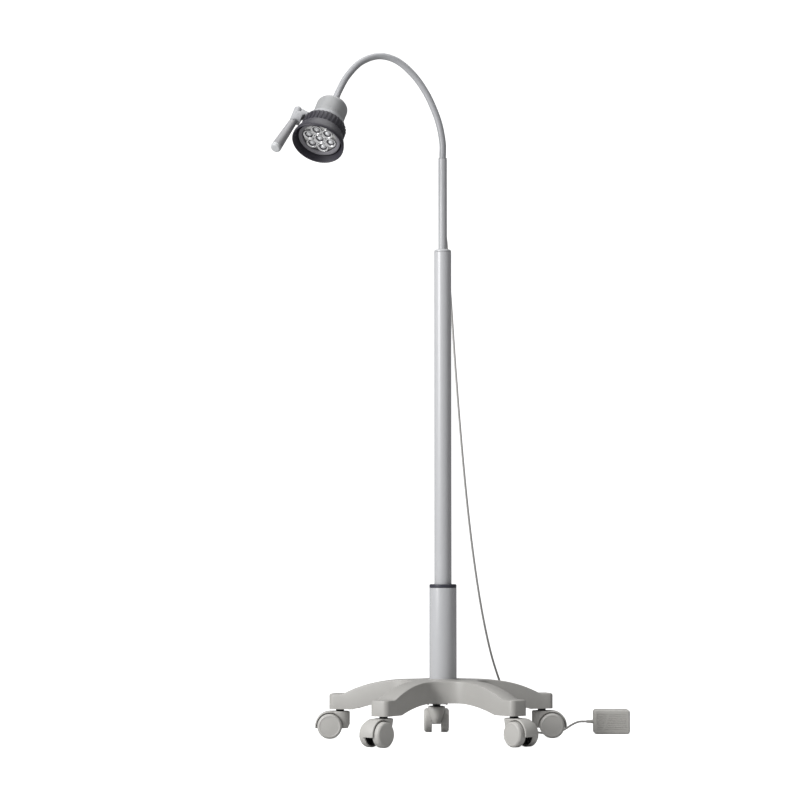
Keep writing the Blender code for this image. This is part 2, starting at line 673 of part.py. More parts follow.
def make_housing(head):
    hole = PIN_R + GAP
    rim = HOUSING_R - HOUSING_ROUND
    inner = HOUSING_R - HOUSING_WALL
    inner_round = HOUSING_ROUND - HOUSING_WALL
    angles = [math.radians(a) for a in (0, 30, 60, 90)]
    outside = [(rim + HOUSING_ROUND * math.sin(a), HOUSING_ROUND * (1 - math.cos(a))) for a in angles]
    inside = [(rim + inner_round * math.sin(a), HOUSING_ROUND - inner_round * math.cos(a))
              for a in reversed(angles)]
    add("rear_housing", turned([
        (hole, 0), *outside, (HOUSING_R, HOUSING_LENGTH), (inner, HOUSING_LENGTH), *inside,
        (hole, HOUSING_WALL),
    ], ROUND, ring=True), HEAD_SHELL, head)
    rear = HOUSING_LENGTH + GAP
    floor = rear + BARREL_FLOOR
    front = rear + BARREL_LENGTH
    bore = BARREL_R - BARREL_WALL
    add("optic_barrel", turned([
        (BARREL_WIRE_R, rear), (BARREL_R, rear), (BARREL_R, front), (bore, front), (bore, floor),
        (BARREL_WIRE_R, floor),
    ], ROUND, ring=True), BLACK_PLASTIC, head)
    return floor + GAP, bore - GAP, front


def make_optics(head, floor, bore, front):
    plate = floor + SINK_LENGTH - SINK_PLATE
    sink = add("heat_sink", cylinder(bore, plate, floor + SINK_LENGTH, ROUND), SINK_METAL, head)
    fins = [cylinder(SINK_CORE_R, floor, plate + 2 * EDGE, SMALL)]
    for index in range(SINK_FINS // 2):
        fin = box((2 * (bore - EDGE), FIN_THICKNESS, plate + EDGE - floor),
                  (0, 0, (plate + EDGE + floor) / 2))
        fins.append(moved(fin, Matrix.Rotation(math.pi * 2 * index / SINK_FINS, 4, "Z")))
    combine(sink, merged(fins[0]), "UNION").name = "sink_core"
    for index, fin in enumerate(fins[1:]):
        combine(sink, fin, "UNION").name = f"sink_fin_{index}"
    board_low = floor + SINK_LENGTH + GAP
    board_high = board_low + BOARD_THICKNESS
    board = add("led_board", cylinder(bore, board_low, board_high, ROUND), BOARD, head)
    leds = [moved(cylinder(LED_R, board_low + OVERLAP, board_high + LED_HEIGHT, TINY), Matrix.Translation(p))
            for p in lens_places()]
    combine(board, merged(*leds), "UNION")
    lens_low = board_high + LED_HEIGHT + GAP
    lens_high = lens_low + LENS_DEPTH
    lens = add("lens_array", cylinder(LENS_R, lens_high - LENS_PLATE, lens_high, ROUND), CLEAR, head)
    cones = []
    dishes = []
    for place in lens_places():
        cones.append(moved(turned([(0, lens_low), (LENSLET_FOOT_R, lens_low),
                                   (LENSLET_R, lens_high - LENS_PLATE + OVERLAP),
                                   (0, lens_high - LENS_PLATE + OVERLAP)], SMALL), Matrix.Translation(place)))
        dishes.append(moved(cylinder(LENSLET_R, lens_high - LENSLET_DISH, lens_high + OVER, SMALL),
                            Matrix.Translation(place)))
    combine(lens, merged(*cones), "UNION")
    combine(lens, merged(*dishes), "DIFFERENCE")
    holder_high = front + GAP + HOLDER_HEIGHT
    add("lens_holder_ring", turned([
        (LENS_R + GAP, front + GAP), (HOLDER_R, front + GAP), (HOLDER_R, holder_high - EDGE),
        (HOLDER_R - EDGE, holder_high), (LENS_R + 2 * EDGE, holder_high), (LENS_R + GAP, holder_high - EDGE),
    ], ROUND, ring=True), HOLDER_GREY, head)


def make_focus_ring(head, front):
    start = RING_START
    end = start + RING_LENGTH
    bore = BARREL_R + RING_CLEARANCE
    ribbed = start + RING_RIBBED
    step = RING_REAR_R + RING_STEP
    add("focus_ring", turned([
        (bore, start), (RING_REAR_R - EDGE, start), (RING_REAR_R, start + EDGE), (RING_REAR_R, ribbed),
        (step, ribbed + EDGE), *[(step + share * (RING_FRONT_R - step), ribbed + past) for past, share in FLARE],
        (RING_FRONT_R, end - 6 * EDGE), (RING_FRONT_R, end - EDGE), (RING_FRONT_R - EDGE, end),
        (RING_FRONT_R - RING_LIP, end), (RING_FRONT_R - RING_LIP - EDGE, end - 2 * EDGE),
        (HOLDER_R + 4 * EDGE, front + HOLDER_HEIGHT), (HOLDER_R + EDGE, front), (bore, front),
    ], ROUND + 4, ring=True), CHARCOAL, head)


def make_handle(head):
    back = HOUSING_LENGTH - COLLAR_WIDTH
    boss_middle = RING_START
    bracket = add("handle_bracket", turned([
        (HOUSING_R + GAP, back), (HOUSING_R + COLLAR_WALL, back),
        (HOUSING_R + COLLAR_WALL, HOUSING_LENGTH), (HOUSING_R + GAP, HOUSING_LENGTH),
    ], ROUND, ring=True), BRACKET_PAINT, head)
    arm_start = HOUSING_R + 3 * EDGE
    arm = box((HANDLE_OFFSET - arm_start, ARM_WIDTH, COLLAR_WIDTH - GAP),
              ((HANDLE_OFFSET + arm_start) / 2, 0, back + COLLAR_WIDTH / 2))
    boss = moved(cylinder(BOSS_R, boss_middle - BOSS_HALF, boss_middle + BOSS_HALF, SMALL),
                 Matrix.Translation((HANDLE_OFFSET, 0, 0)))
    combine(bracket, arm, "UNION").name = "bracket_arm"
    combine(bracket, boss, "UNION").name = "bracket_boss"
    grip_start = boss_middle + BOSS_HALF
    rear = boss_middle - BOSS_HALF
    splayed = (Matrix.Translation((HANDLE_OFFSET, 0, grip_start))
               @ Matrix.Rotation(math.radians(GRIP_SPLAY), 4, "Y"))
    button_bore = moved(cylinder(BUTTON_R + GAP, rear - OVER, rear + BUTTON_DEPTH + BUTTON_TRAVEL + GAP, SMALL),
                        Matrix.Translation((HANDLE_OFFSET, 0, 0)))
    stud_bore = moved(cylinder(GRIP_STUD_R + GAP, -GRIP_STUD - GAP, OVER, TINY), splayed)
    combine(bracket, merged(button_bore, stud_bore), "DIFFERENCE").name = "bracket_bores"
    add("switch_button", turned([
        (0, rear - BUTTON_STAND), (0.5 * BUTTON_R, rear - 0.93 * BUTTON_STAND),
        (0.85 * BUTTON_R, rear - 0.65 * BUTTON_STAND), (BUTTON_R, rear - 0.15 * BUTTON_STAND),
        (BUTTON_R, rear + BUTTON_DEPTH), (0, rear + BUTTON_DEPTH),
    ], SMALL), BRACKET_PAINT, head, Matrix.Translation((HANDLE_OFFSET, 0, 0)))
    slope = (GRIP_END_R - GRIP_TOP_R) / GRIP_LENGTH
    clear = BOSS_R * math.tan(math.radians(GRIP_SPLAY)) + GAP
    body = [(GRIP_TOP_R + slope * z, z) for z in (clear + EDGE, 0.5 * GRIP_LENGTH, GRIP_LENGTH - GRIP_CAP)]
    add("handle_grip", turned([
        (0, -GRIP_STUD), (GRIP_STUD_R, -GRIP_STUD), (GRIP_STUD_R, clear), (GRIP_TOP_R - EDGE, clear),
        *body, (GRIP_STUD_R + GAP, GRIP_LENGTH - GRIP_CAP),
        (GRIP_STUD_R + GAP, GRIP_LENGTH - GRIP_CAP - CAP_STUD - EDGE),
        (0, GRIP_LENGTH - GRIP_CAP - CAP_STUD - EDGE),
    ], SMALL), HANDLE_GREY, head, splayed)
    cap = GRIP_LENGTH - GRIP_CAP + GAP
    add("grip_end_cap", turned([
        (0, cap - CAP_STUD), (GRIP_STUD_R, cap - CAP_STUD), (GRIP_STUD_R, cap), (GRIP_END_R - GAP, cap),
        (GRIP_END_R, GRIP_LENGTH - 5 * EDGE), (GRIP_END_R - EDGE, GRIP_LENGTH - 2 * EDGE),
        (GRIP_END_R - 4 * EDGE, GRIP_LENGTH), (0, GRIP_LENGTH),
    ], SMALL), END_CAP, head, splayed)


# ---------------------------------------------------------------- lead and power supply

def make_cord(root):
    points, length = smooth_points(CORD_ROUTE, CORD_POINTS)
    curve = bpy.data.curves.new("power_cord", "CURVE")
    curve.dimensions = "3D"
    curve.bevel_depth = CORD_D / 2
    curve.bevel_resolution = 2
    curve.use_fill_caps = True
    spline = curve.splines.new("POLY")
    spline.points.add(len(points) - 1)
    start_gap = (points[1] - points[0]).normalized() * GAP
    end_gap = (points[-2] - points[-1]).normalized() * GAP
    points[0] = points[0] + start_gap
    points[-1] = points[-1] + end_gap
    for knot, point in zip(spline.points, points):
        knot.co = (*point, 1.0)
    curve.materials.append(LEAD)
    cord = bpy.data.objects.new("power_cord", curve)
    bpy.context.scene.collection.objects.link(cord)
    cord.parent = root
    print(f"lead length {length:.3f} m")


def tray(length, depth, height, radius, edge, side):
    """A block with round corners whose face at Y = 0 is flat and whose outer rim is rounded."""
    outline = []
    for corner, (sx, sy) in enumerate(((1, 1), (-1, 1), (-1, -1), (1, -1))):
        for step in range(4):
            angle = math.pi / 2 * (corner + step / 3)
            outline.append((sx * (length / 2 - radius) + radius * math.cos(angle),
                            sy * (height / 2 - radius) + radius * math.sin(angle)))
    bm = extruded(outline, 0, depth)
    rim = [e for e in bm.edges if all(v.co.z > depth / 2 for v in e.verts)]
    bmesh.ops.bevel(bm, geom=rim, offset=edge, segments=2, affect="EDGES", profile=0.5, material=-1)
    return moved(bm, Matrix.Rotation(side * math.pi / 2, 4, "X"))


def make_supply(root):
    tip = Vector(CORD_ROUTE[-1])
    length, depth, height = SUPPLY_SIZE
    middle = tip + Vector((RELIEF_LENGTH + length / 2, 0, height / 2 - tip.z))
    front_y = middle.y - depth / 2 + SUPPLY_SPLIT
    rear_depth = depth - SUPPLY_SPLIT
    bore_y = tip.y
    relief_bore = Matrix.Rotation(math.pi / 2, 4, "Y")
    for name, y, size, side in (
        ("supply_front_shell", front_y - GAP / 2, (length, SUPPLY_SPLIT - GAP / 2, height), 1),
        ("supply_back_shell", front_y + GAP / 2, (length, rear_depth - GAP / 2, height), -1),
    ):
        wide, deep, tall = size
        shell = tray(wide, deep, tall, SUPPLY_ROUND, SUPPLY_ROUND / 2, side)
        room = (wide - 2 * SUPPLY_WALL, deep - SUPPLY_WALL + MOUTH, tall - 2 * SUPPLY_WALL)
        inside = tray(*room, SUPPLY_ROUND - SUPPLY_WALL, (SUPPLY_ROUND - SUPPLY_WALL) / 2, side)
        inside = moved(inside, Matrix.Translation((0, side * MOUTH, 0)))
        case = add(name, shell, SUPPLY_PLASTIC, root, Matrix.Translation((middle.x, y, middle.z)))
        combine(case, inside, "DIFFERENCE")
        if side < 0:
            hole = moved(cylinder(RELIEF_R - EDGE + GAP, -OVER, OVER, TINY), relief_bore)
            hole = moved(hole, Matrix.Translation((-length / 2, bore_y - y, tip.z - middle.z)))
            combine(case, hole, "DIFFERENCE").name = "relief_hole"
            holes = []
            for pin_side in (1, -1):
                pin = moved(cylinder(PLUG_PIN_R + GAP, -OVER, OVER, TINY), Matrix.Rotation(math.pi / 2, 4, "X"))
                holes.append(moved(pin, Matrix.Translation((pin_side * PLUG_PIN_SPACING / 2, rear_depth, 0))))
            combine(case, merged(*holes), "DIFFERENCE").name = "pin_holes"
    back = middle.y + depth / 2
    for label, pin_side in (("left", 1), ("right", -1)):
        place = Matrix.Translation((middle.x + pin_side * PLUG_PIN_SPACING / 2, back - PIN_ROOT, middle.z))
        add(f"plug_pin_{label}", turned([
            (0, 0), (PLUG_PIN_R, 0), (PLUG_PIN_R, PLUG_PIN_LENGTH + PIN_ROOT - EDGE),
            (PLUG_PIN_R - EDGE, PLUG_PIN_LENGTH + PIN_ROOT), (0, PLUG_PIN_LENGTH + PIN_ROOT),
        ], TINY), STEEL, root, place @ Matrix.Rotation(-math.pi / 2, 4, "X"))
    add("supply_core", rounded_box(CORE_SIZE, (0, 0, 0), 2 * EDGE, 1), STEEL, root,
        Matrix.Translation((middle.x + RELIEF_ROOT, back - SUPPLY_WALL - PIN_ROOT - CORE_SIZE[1] / 2, middle.z)))
    neck_r = RELIEF_R - EDGE
    add("supply_strain_relief", turned([
        (0, 0), (0.7 * RELIEF_R, 0), (RELIEF_R, RELIEF_LENGTH - GAP), (neck_r, RELIEF_LENGTH - GAP),
        (neck_r, RELIEF_LENGTH + RELIEF_ROOT), (0, RELIEF_LENGTH + RELIEF_ROOT),
    ], SMALL), SUPPLY_PLASTIC, root, Matrix.Translation(tip) @ relief_bore)


# ---------------------------------------------------------------- the whole lamp

CORD_NODES = ("power_cord", "supply_front_shell", "supply_back_shell", "supply_strain_relief", "supply_core",
              "plug_pin_left", "plug_pin_right")


def footprint_middle():
    """The middle of the lamp's overall box in plan, without the lead and the power supply."""
    bpy.context.view_layer.update()
    graph = bpy.context.evaluated_depsgraph_get()
    low = Vector((9, 9))
    high = Vector((-9, -9))
    for piece in bpy.context.scene.objects:
        if piece.type != "MESH" or piece.hide_render or piece.name in CORD_NODES:
            continue
        solid = piece.evaluated_get(graph)
        for corner in solid.data.vertices:
            place = solid.matrix_world @ corner.co
            low = Vector(map(min, low, place.xy))
            high = Vector(map(max, high, place.xy))
    return (low + high) / 2


for old in list(bpy.data.objects):
    bpy.data.objects.remove(old)

TUBE_PAINT = material("tube_paint", (0.62, 0.63, 0.65), 0.42)
HEAD_SHELL = material("head_shell", (0.62, 0.63, 0.65), 0.42)
BRACKET_PAINT = material("bracket_paint", (0.74, 0.75, 0.76), 0.40)
BASE_PLASTIC = material("base_plastic", (0.58, 0.57, 0.55), 0.55)
CASTOR_PLASTIC = material("castor_plastic", (0.66, 0.65, 0.63), 0.50)
BLACK_PLASTIC = material("black_plastic", (0.03, 0.03, 0.03), 0.55)
STEEL = material("steel", (0.60, 0.60, 0.60), 0.30, 1.0)
SINK_METAL = material("sink_metal", (0.72, 0.73, 0.74), 0.35, 1.0)
SLEEVE = material("sleeve", (0.45, 0.46, 0.47), 0.50)
CHARCOAL = material("charcoal_plastic", (0.05, 0.05, 0.06), 0.50)
HOLDER_GREY = material("holder_grey", (0.30, 0.30, 0.33), 0.45)
BOARD = material("board", (0.75, 0.76, 0.74), 0.50)
CLEAR = material("clear_lens", (0.90, 0.91, 0.93), 0.10)
HANDLE_GREY = material("handle_grey", (0.50, 0.51, 0.52), 0.45)
END_CAP = material("end_cap", (0.78, 0.78, 0.78), 0.45)
LEAD = material("lead_sheath", (0.66, 0.65, 0.64), 0.55)
SUPPLY_PLASTIC = material("supply_plastic", (0.64, 0.63, 0.61), 0.55)

lamp = empty("lamp", None, Matrix.Identity(4))
make_base(lamp)
make_castors(lamp)
make_column(lamp)
neck_line = Neck()
make_neck(lamp, neck_line)
head_back, _, _, head_direction = neck_line.at(neck_line.length)
head_frame = empty("head", lamp, frame_of(head_back, head_direction, HANDLE_SIDE))
sink_floor, barrel_bore, barrel_front = make_housing(head_frame)
make_optics(head_frame, sink_floor, barrel_bore, barrel_front)
make_focus_ring(head_frame, barrel_front)
make_handle(head_frame)
make_cord(lamp)
make_supply(lamp)
shift = footprint_middle()
lamp.location = (-shift.x, -shift.y, 0)
bpy.context.view_layer.update()
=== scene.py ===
"""The examination lamp's looks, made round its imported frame, in metres, +Z up."""

import math

import bmesh
import bpy
from mathutils import Matrix, Vector


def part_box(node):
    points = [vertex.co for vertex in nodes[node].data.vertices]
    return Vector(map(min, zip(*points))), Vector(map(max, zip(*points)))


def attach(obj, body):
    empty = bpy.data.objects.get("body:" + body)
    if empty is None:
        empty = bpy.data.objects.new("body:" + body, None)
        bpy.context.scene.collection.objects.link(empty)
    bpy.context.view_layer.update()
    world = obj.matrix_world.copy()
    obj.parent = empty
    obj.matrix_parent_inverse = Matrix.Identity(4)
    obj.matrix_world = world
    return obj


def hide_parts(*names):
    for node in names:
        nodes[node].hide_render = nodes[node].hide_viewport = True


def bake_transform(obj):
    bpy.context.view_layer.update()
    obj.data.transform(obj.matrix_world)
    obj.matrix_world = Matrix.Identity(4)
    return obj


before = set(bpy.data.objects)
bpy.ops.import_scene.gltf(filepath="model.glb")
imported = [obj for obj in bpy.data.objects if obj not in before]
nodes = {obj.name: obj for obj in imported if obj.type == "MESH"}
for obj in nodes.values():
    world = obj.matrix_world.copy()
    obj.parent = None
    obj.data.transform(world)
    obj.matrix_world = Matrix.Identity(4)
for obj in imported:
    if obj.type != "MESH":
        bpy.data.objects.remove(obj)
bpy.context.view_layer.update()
TURN = 2 * math.pi
GAP = 0.0003


def middle_of(node):
    low, high = (Vector(corner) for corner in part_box(node))
    return (low + high) / 2


def height_of(node):
    low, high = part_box(node)
    return low[2], high[2]


def mean_of(node):
    """The mean corner of a turned piece, which lies on its axis."""
    corners = {tuple(round(c, 6) for c in v.co) for v in nodes[node].data.vertices}
    return sum((Vector(c) for c in corners), Vector()) / len(corners)


COLUMN = middle_of("column_tube")
COLUMN.z = 0.0
AT_COLUMN = Matrix.Translation(COLUMN)

# ---------------------------------------------------------------- camera

CAMERA_PLACE = Vector((-0.095, -6.0, 0.433))
CAMERA_AIM = Vector((-0.095, 0.0, 0.7506))

camera = bpy.data.objects.new("camera", bpy.data.cameras.new("camera"))
bpy.context.scene.collection.objects.link(camera)
camera.data.lens = 121.9
camera.data.sensor_width = 36.0
camera.location = COLUMN + CAMERA_PLACE
camera.rotation_euler = (CAMERA_AIM - CAMERA_PLACE).to_track_quat("-Z", "Y").to_euler()
bpy.context.scene.camera = camera


# ---------------------------------------------------------------- finishes

def wire(tree, *links):
    for start, end in links:
        tree.links.new(start, end)


def finish_of(name, colour, roughness, grain=900.0, depth=0.00002, mottle=0.04, metallic=0.0,
              floor_shade=0.0, streak=1.0, coat=0.0):
    """A moulded or coated surface: fine grain in the bump, soft mottling, and painted shade that darkens it
    in patches near the floor.
    """
    made = bpy.data.materials.new(name)
    made.use_nodes = True
    tree = made.node_tree
    shader = tree.nodes["Principled BSDF"]
    shader.inputs["Metallic"].default_value = metallic
    shader.inputs["Coat Weight"].default_value = coat
    shader.inputs["Coat Roughness"].default_value = 0.25
    made.diffuse_color = (*colour, 1.0)
    coords = tree.nodes.new("ShaderNodeTexCoord")
    along = tree.nodes.new("ShaderNodeMapping")
    along.inputs["Scale"].default_value = (1.0, 1.0, streak)
    fine = tree.nodes.new("ShaderNodeTexNoise")
    fine.inputs["Scale"].default_value = grain
    fine.inputs["Detail"].default_value = 3.0
    broad = tree.nodes.new("ShaderNodeTexNoise")
    broad.inputs["Scale"].default_value = 22.0
    broad.inputs["Detail"].default_value = 4.0
    tone = tree.nodes.new("ShaderNodeMix")
    tone.data_type = "RGBA"
    tone.inputs["A"].default_value = (*[c * (1 - mottle) for c in colour], 1.0)
    tone.inputs["B"].default_value = (*[min(1.0, c * (1 + mottle)) for c in colour], 1.0)
    gloss = tree.nodes.new("ShaderNodeMapRange")
    gloss.inputs["To Min"].default_value = roughness - 0.05
    gloss.inputs["To Max"].default_value = roughness + 0.06
    bump = tree.nodes.new("ShaderNodeBump")
    bump.inputs["Strength"].default_value = 0.35
    bump.inputs["Distance"].default_value = depth
    wire(tree, (coords.outputs["Object"], along.inputs["Vector"]),
         (along.outputs["Vector"], fine.inputs["Vector"]),
         (coords.outputs["Object"], broad.inputs["Vector"]), (broad.outputs["Fac"], tone.inputs["Factor"]),
         (broad.outputs["Fac"], gloss.inputs["Value"]),
         (gloss.outputs["Result"], shader.inputs["Roughness"]),
         (fine.outputs["Fac"], bump.inputs["Height"]), (bump.outputs["Normal"], shader.inputs["Normal"]))
    if not floor_shade:
        wire(tree, (tone.outputs["Result"], shader.inputs["Base Color"]))
        return made
    # Painted shade: the colour darkens in patches towards 0.55 of itself within 45 mm of the floor, under
    # the base and castors.
    split = tree.nodes.new("ShaderNodeSeparateXYZ")
    near_floor = tree.nodes.new("ShaderNodeMapRange")
    near_floor.inputs["From Min"].default_value = 0.0
    near_floor.inputs["From Max"].default_value = 0.045
    near_floor.inputs["To Min"].default_value = floor_shade
    near_floor.inputs["To Max"].default_value = 0.0
    patchy_shade = tree.nodes.new("ShaderNodeMath")
    patchy_shade.operation = "MULTIPLY"
    shaded_tone = tree.nodes.new("ShaderNodeMix")
    shaded_tone.data_type = "RGBA"
    shaded_tone.inputs["B"].default_value = (*[c * 0.55 for c in colour], 1.0)
    wire(tree, (coords.outputs["Object"], split.inputs["Vector"]),
         (split.outputs["Z"], near_floor.inputs["Value"]), (near_floor.outputs["Result"], patchy_shade.inputs[0]),
         (broad.outputs["Fac"], patchy_shade.inputs[1]), (patchy_shade.outputs["Value"], shaded_tone.inputs["Factor"]),
         (tone.outputs["Result"], shaded_tone.inputs["A"]),
         (shaded_tone.outputs["Result"], shader.inputs["Base Color"]))
    return made


TUBE_COAT = finish_of("tube_coat", (0.50, 0.505, 0.52), 0.36, 700, 0.00003, 0.015, coat=0.15)
POLE_COAT = finish_of("pole_coat", (0.46, 0.465, 0.48), 0.36, 700, 0.00003, 0.015, coat=0.15)
SLEEVE_SKIN = finish_of("sleeve_skin", (0.38, 0.385, 0.40), 0.42, 1400, 0.00002, 0.03)
HEAD_SHELL = finish_of("head_shell", (0.33, 0.335, 0.34), 0.40, 1100, 0.00002, 0.02)
BRACKET_WHITE = finish_of("bracket_white", (0.40, 0.405, 0.42), 0.38, 1100, 0.00002, 0.02)
GRIP_GREY = finish_of("grip_grey", (0.31, 0.31, 0.32), 0.42, 1300, 0.00003, 0.03)
CAP_WHITE = finish_of("cap_white", (0.50, 0.51, 0.52), 0.40, 1300, 0.00002, 0.02)
RING_DARK = finish_of("ring_dark", (0.030, 0.028, 0.038), 0.52, 1200, 0.00003, 0.08)
HOLDER_TONE = finish_of("holder_tone", (0.20, 0.195, 0.215), 0.40, 1200, 0.00002, 0.05)
# The base and castor moulds carry painted shade near the floor.
BASE_MOULD = finish_of("base_mould", (0.41, 0.402, 0.384), 0.48, 1500, 0.00004, 0.03, floor_shade=0.2)
CASTOR_MOULD = finish_of("castor_mould", (0.50, 0.491, 0.470), 0.44, 1500, 0.00003, 0.03, floor_shade=0.35)
DARK_MOULD = finish_of("dark_mould", (0.018, 0.018, 0.020), 0.48, 1200, 0.00003, 0.10)
COLLAR_DARK = finish_of("collar_dark", (0.040, 0.040, 0.055), 0.40, 1200, 0.00002, 0.06)
PLATED = finish_of("plated", (0.62, 0.62, 0.61), 0.26, 1500, 0.00001, 0.04, 1.0, streak=0.1)
SINK_ALLOY = finish_of("sink_alloy", (0.72, 0.73, 0.74), 0.34, 900, 0.00002, 0.04, 1.0, streak=0.1)
BOARD_COAT = finish_of("board_coat", (0.74, 0.75, 0.72), 0.45, 1100, 0.00002, 0.03)
MIRRORED = finish_of("mirrored", (0.94, 0.94, 0.95), 0.22, 1600, 0.00001, 0.02, 0.75)
LENS_DOME = finish_of("lens_dome", (0.90, 0.91, 0.93), 0.09, 1600, 0.00001, 0.01, coat=0.6)
LEAD_SHEATH = finish_of("lead_sheath", (0.44, 0.43, 0.42), 0.46, 1500, 0.00003, 0.04)
SUPPLY_MOULD = finish_of("supply_mould", (0.50, 0.49, 0.465), 0.50, 1500, 0.00005, 0.03)


# ---------------------------------------------------------------- shaping

def eased(profile, reach, closed=False, steps=3):
    """A (radius, height) outline with each corner rounded over at most the given reach."""
    points = [Vector(p) for p in profile]
    count = len(points)
    outline = []
    for index, point in enumerate(points):
        if not closed and index in (0, count - 1):
            outline.append(point)
            continue
        back = points[index - 1] - point
        ahead = points[(index + 1) % count] - point
        near = point + back.normalized() * min(reach, 0.45 * back.length)
        far = point + ahead.normalized() * min(reach, 0.45 * ahead.length)
        for step in range(steps + 1):
            share = step / steps
            outline.append(near.lerp(point, share).lerp(point.lerp(far, share), share))
    return [tuple(p) for p in outline]


def turned(profile, steps=72, closed=False):
    """A bmesh turned about Z from (radius, height) points."""
    bm = bmesh.new()
    corners = [bm.verts.new((radius, 0.0, height)) for radius, height in profile]
    edges = [bm.edges.new(pair) for pair in zip(corners, corners[1:])]
    if closed:
        edges.append(bm.edges.new((corners[-1], corners[0])))
    bmesh.ops.spin(bm, geom=corners + edges, cent=(0, 0, 0), axis=(0, 0, 1), angle=TURN, steps=steps,
                   use_merge=True)
    bmesh.ops.remove_doubles(bm, verts=bm.verts[:], dist=1e-6)
    return bm


def ring_of(profile, reach, steps=96):
    """A turned ring whose outline is closed and eased at its corners."""
    return turned(eased(profile, reach, closed=True), steps, closed=True)


def block(size, edge, segments=2, middle=(0, 0, 0)):
    """A cube scaled to size, with its edges rounded."""
    bm = bmesh.new()
    bmesh.ops.create_cube(bm, size=1.0)
    bmesh.ops.scale(bm, vec=size, verts=bm.verts)
    bmesh.ops.bevel(bm, geom=bm.edges[:], offset=edge, segments=segments, affect="EDGES", profile=0.5,
                    material=-1)
    bmesh.ops.translate(bm, vec=middle, verts=bm.verts)
    return bm


def verts_of(geometry):
    return [part for part in geometry if isinstance(part, bmesh.types.BMVert)]


def moved(bm, place):
    bmesh.ops.transform(bm, matrix=place, verts=bm.verts)
    return bm


def outwards(bm):
    bmesh.ops.recalc_face_normals(bm, faces=bm.faces[:])
    if bm.calc_volume(signed=True) < 0:
        bmesh.ops.reverse_faces(bm, faces=bm.faces[:])


def joined(*shapes):
    """One bmesh that holds all the given ones."""
    whole = bmesh.new()
    for shape in shapes:
        outwards(shape)
        loose = bpy.data.meshes.new("loose")
        shape.to_mesh(loose)
        shape.free()
        whole.from_mesh(loose)
        bpy.data.meshes.remove(loose)
    return whole


def mesh_of(name, bm, sharp=38):
    """A mesh from a bmesh whose shells face outwards already or are one closed shape."""
    mesh = bpy.data.meshes.new(name)
    bm.to_mesh(mesh)
    bm.free()
    mesh.shade_smooth()
    mesh.set_sharp_from_angle(angle=math.radians(sharp))
    return mesh


def piece(name, bm, finish, body, stands_for=(), sharp=38):
    """A finished piece that rides on a body and stands for CAD nodes."""
    mesh = mesh_of(name, bm, sharp)
    mesh.materials.append(finish)
    made = bpy.data.objects.new(name, mesh)
    bpy.context.scene.collection.objects.link(made)
    if body:
        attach(made, body)
    if stands_for:
        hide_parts(*stands_for)
    return made


def carved(base, cutters, operation="DIFFERENCE"):
    """A bmesh of one shape cut by, or joined with, others."""
    outwards(base)
    target = bpy.data.objects.new("carving", mesh_of("carving", base))
    bpy.context.scene.collection.objects.link(target)
    helpers = []
    for shape in cutters:
        outwards(shape)
        helper = bpy.data.objects.new("cutter", mesh_of("cutter", shape))
        bpy.context.scene.collection.objects.link(helper)
        step = target.modifiers.new("step", "BOOLEAN")
        step.operation = operation
        step.solver = "EXACT"
        step.object = helper
        helpers.append(helper)
    bpy.context.view_layer.update()
    graph = bpy.context.evaluated_depsgraph_get()
    result = bpy.data.meshes.new_from_object(target.evaluated_get(graph))
    bm = bmesh.new()
    bm.from_mesh(result)
    for used in (target, *helpers):
        mesh = used.data
        bpy.data.objects.remove(used)
        bpy.data.meshes.remove(mesh)
    bpy.data.meshes.remove(result)
    return bm


def paint(finish, *names):
    """Gives kept CAD nodes a finish."""
    for name in names:
        mesh = nodes[name].data
        if mesh.materials:
            for index in range(len(mesh.materials)):
                nodes[name].material_slots[index].material = finish
        else:
            mesh.materials.append(finish)


def smooth_line(route, count):
    """Evenly spaced points on the smooth curve through a route's own points, and its length."""
    knots = [Vector(p) for p in route]
    knots = [2 * knots[0] - knots[1], *knots, 2 * knots[-1] - knots[-2]]
    dense = []
    for a, b, c, d in zip(knots, knots[1:], knots[2:], knots[3:]):
        for step in range(24):
            t = step / 24
            dense.append(0.5 * (2 * b + (c - a) * t + (2 * a - 5 * b + 4 * c - d) * t * t
                                + (3 * b - a - 3 * c + d) * t * t * t))
    dense.append(knots[-2])
    along = [0.0]
    for a, b in zip(dense, dense[1:]):
        along.append(along[-1] + (b - a).length)
    points = []
    index = 0
    for step in range(count):
        wanted = along[-1] * step / (count - 1)
        while index < len(dense) - 2 and along[index + 1] < wanted:
            index += 1
        share = (wanted - along[index]) / (along[index + 1] - along[index])
        points.append(dense[index].lerp(dense[index + 1], share))
    return points, along[-1]


def swept(points, radii, sides=20):
    """A closed round bar along a line of points, with a radius for each."""
    bm = bmesh.new()
    ring = bmesh.ops.create_circle(bm, segments=sides, radius=1.0, cap_ends=False)["verts"]
    shape = [v.co.copy() for v in ring]
    edges = bm.edges[:]
    across = Vector((1, 0, 0)) if abs((points[1] - points[0]).normalized().x) < 0.9 else Vector((0, 1, 0))
    last = len(points) - 1
    ends = []
    for index, (point, radius) in enumerate(zip(points, radii)):
        ahead = (points[min(index + 1, last)] - points[max(index - 1, 0)]).normalized()
        across = (across - across.dot(ahead) * ahead).normalized()
        other = ahead.cross(across)
        if index:
            grown = bmesh.ops.extrude_edge_only(bm, edges=edges)["geom"]
            ring = verts_of(grown)
            edges = [g for g in grown if isinstance(g, bmesh.types.BMEdge)]
        for vert, corner in zip(ring, shape):
            vert.co = point + (across * corner.x + other * corner.y) * radius
        if index in (0, last):
            ends.append(list(edges))
    for loop in ends:
        bmesh.ops.edgeloop_fill(bm, edges=loop)
    outwards(bm)
    return bm


# ---------------------------------------------------------------- lead

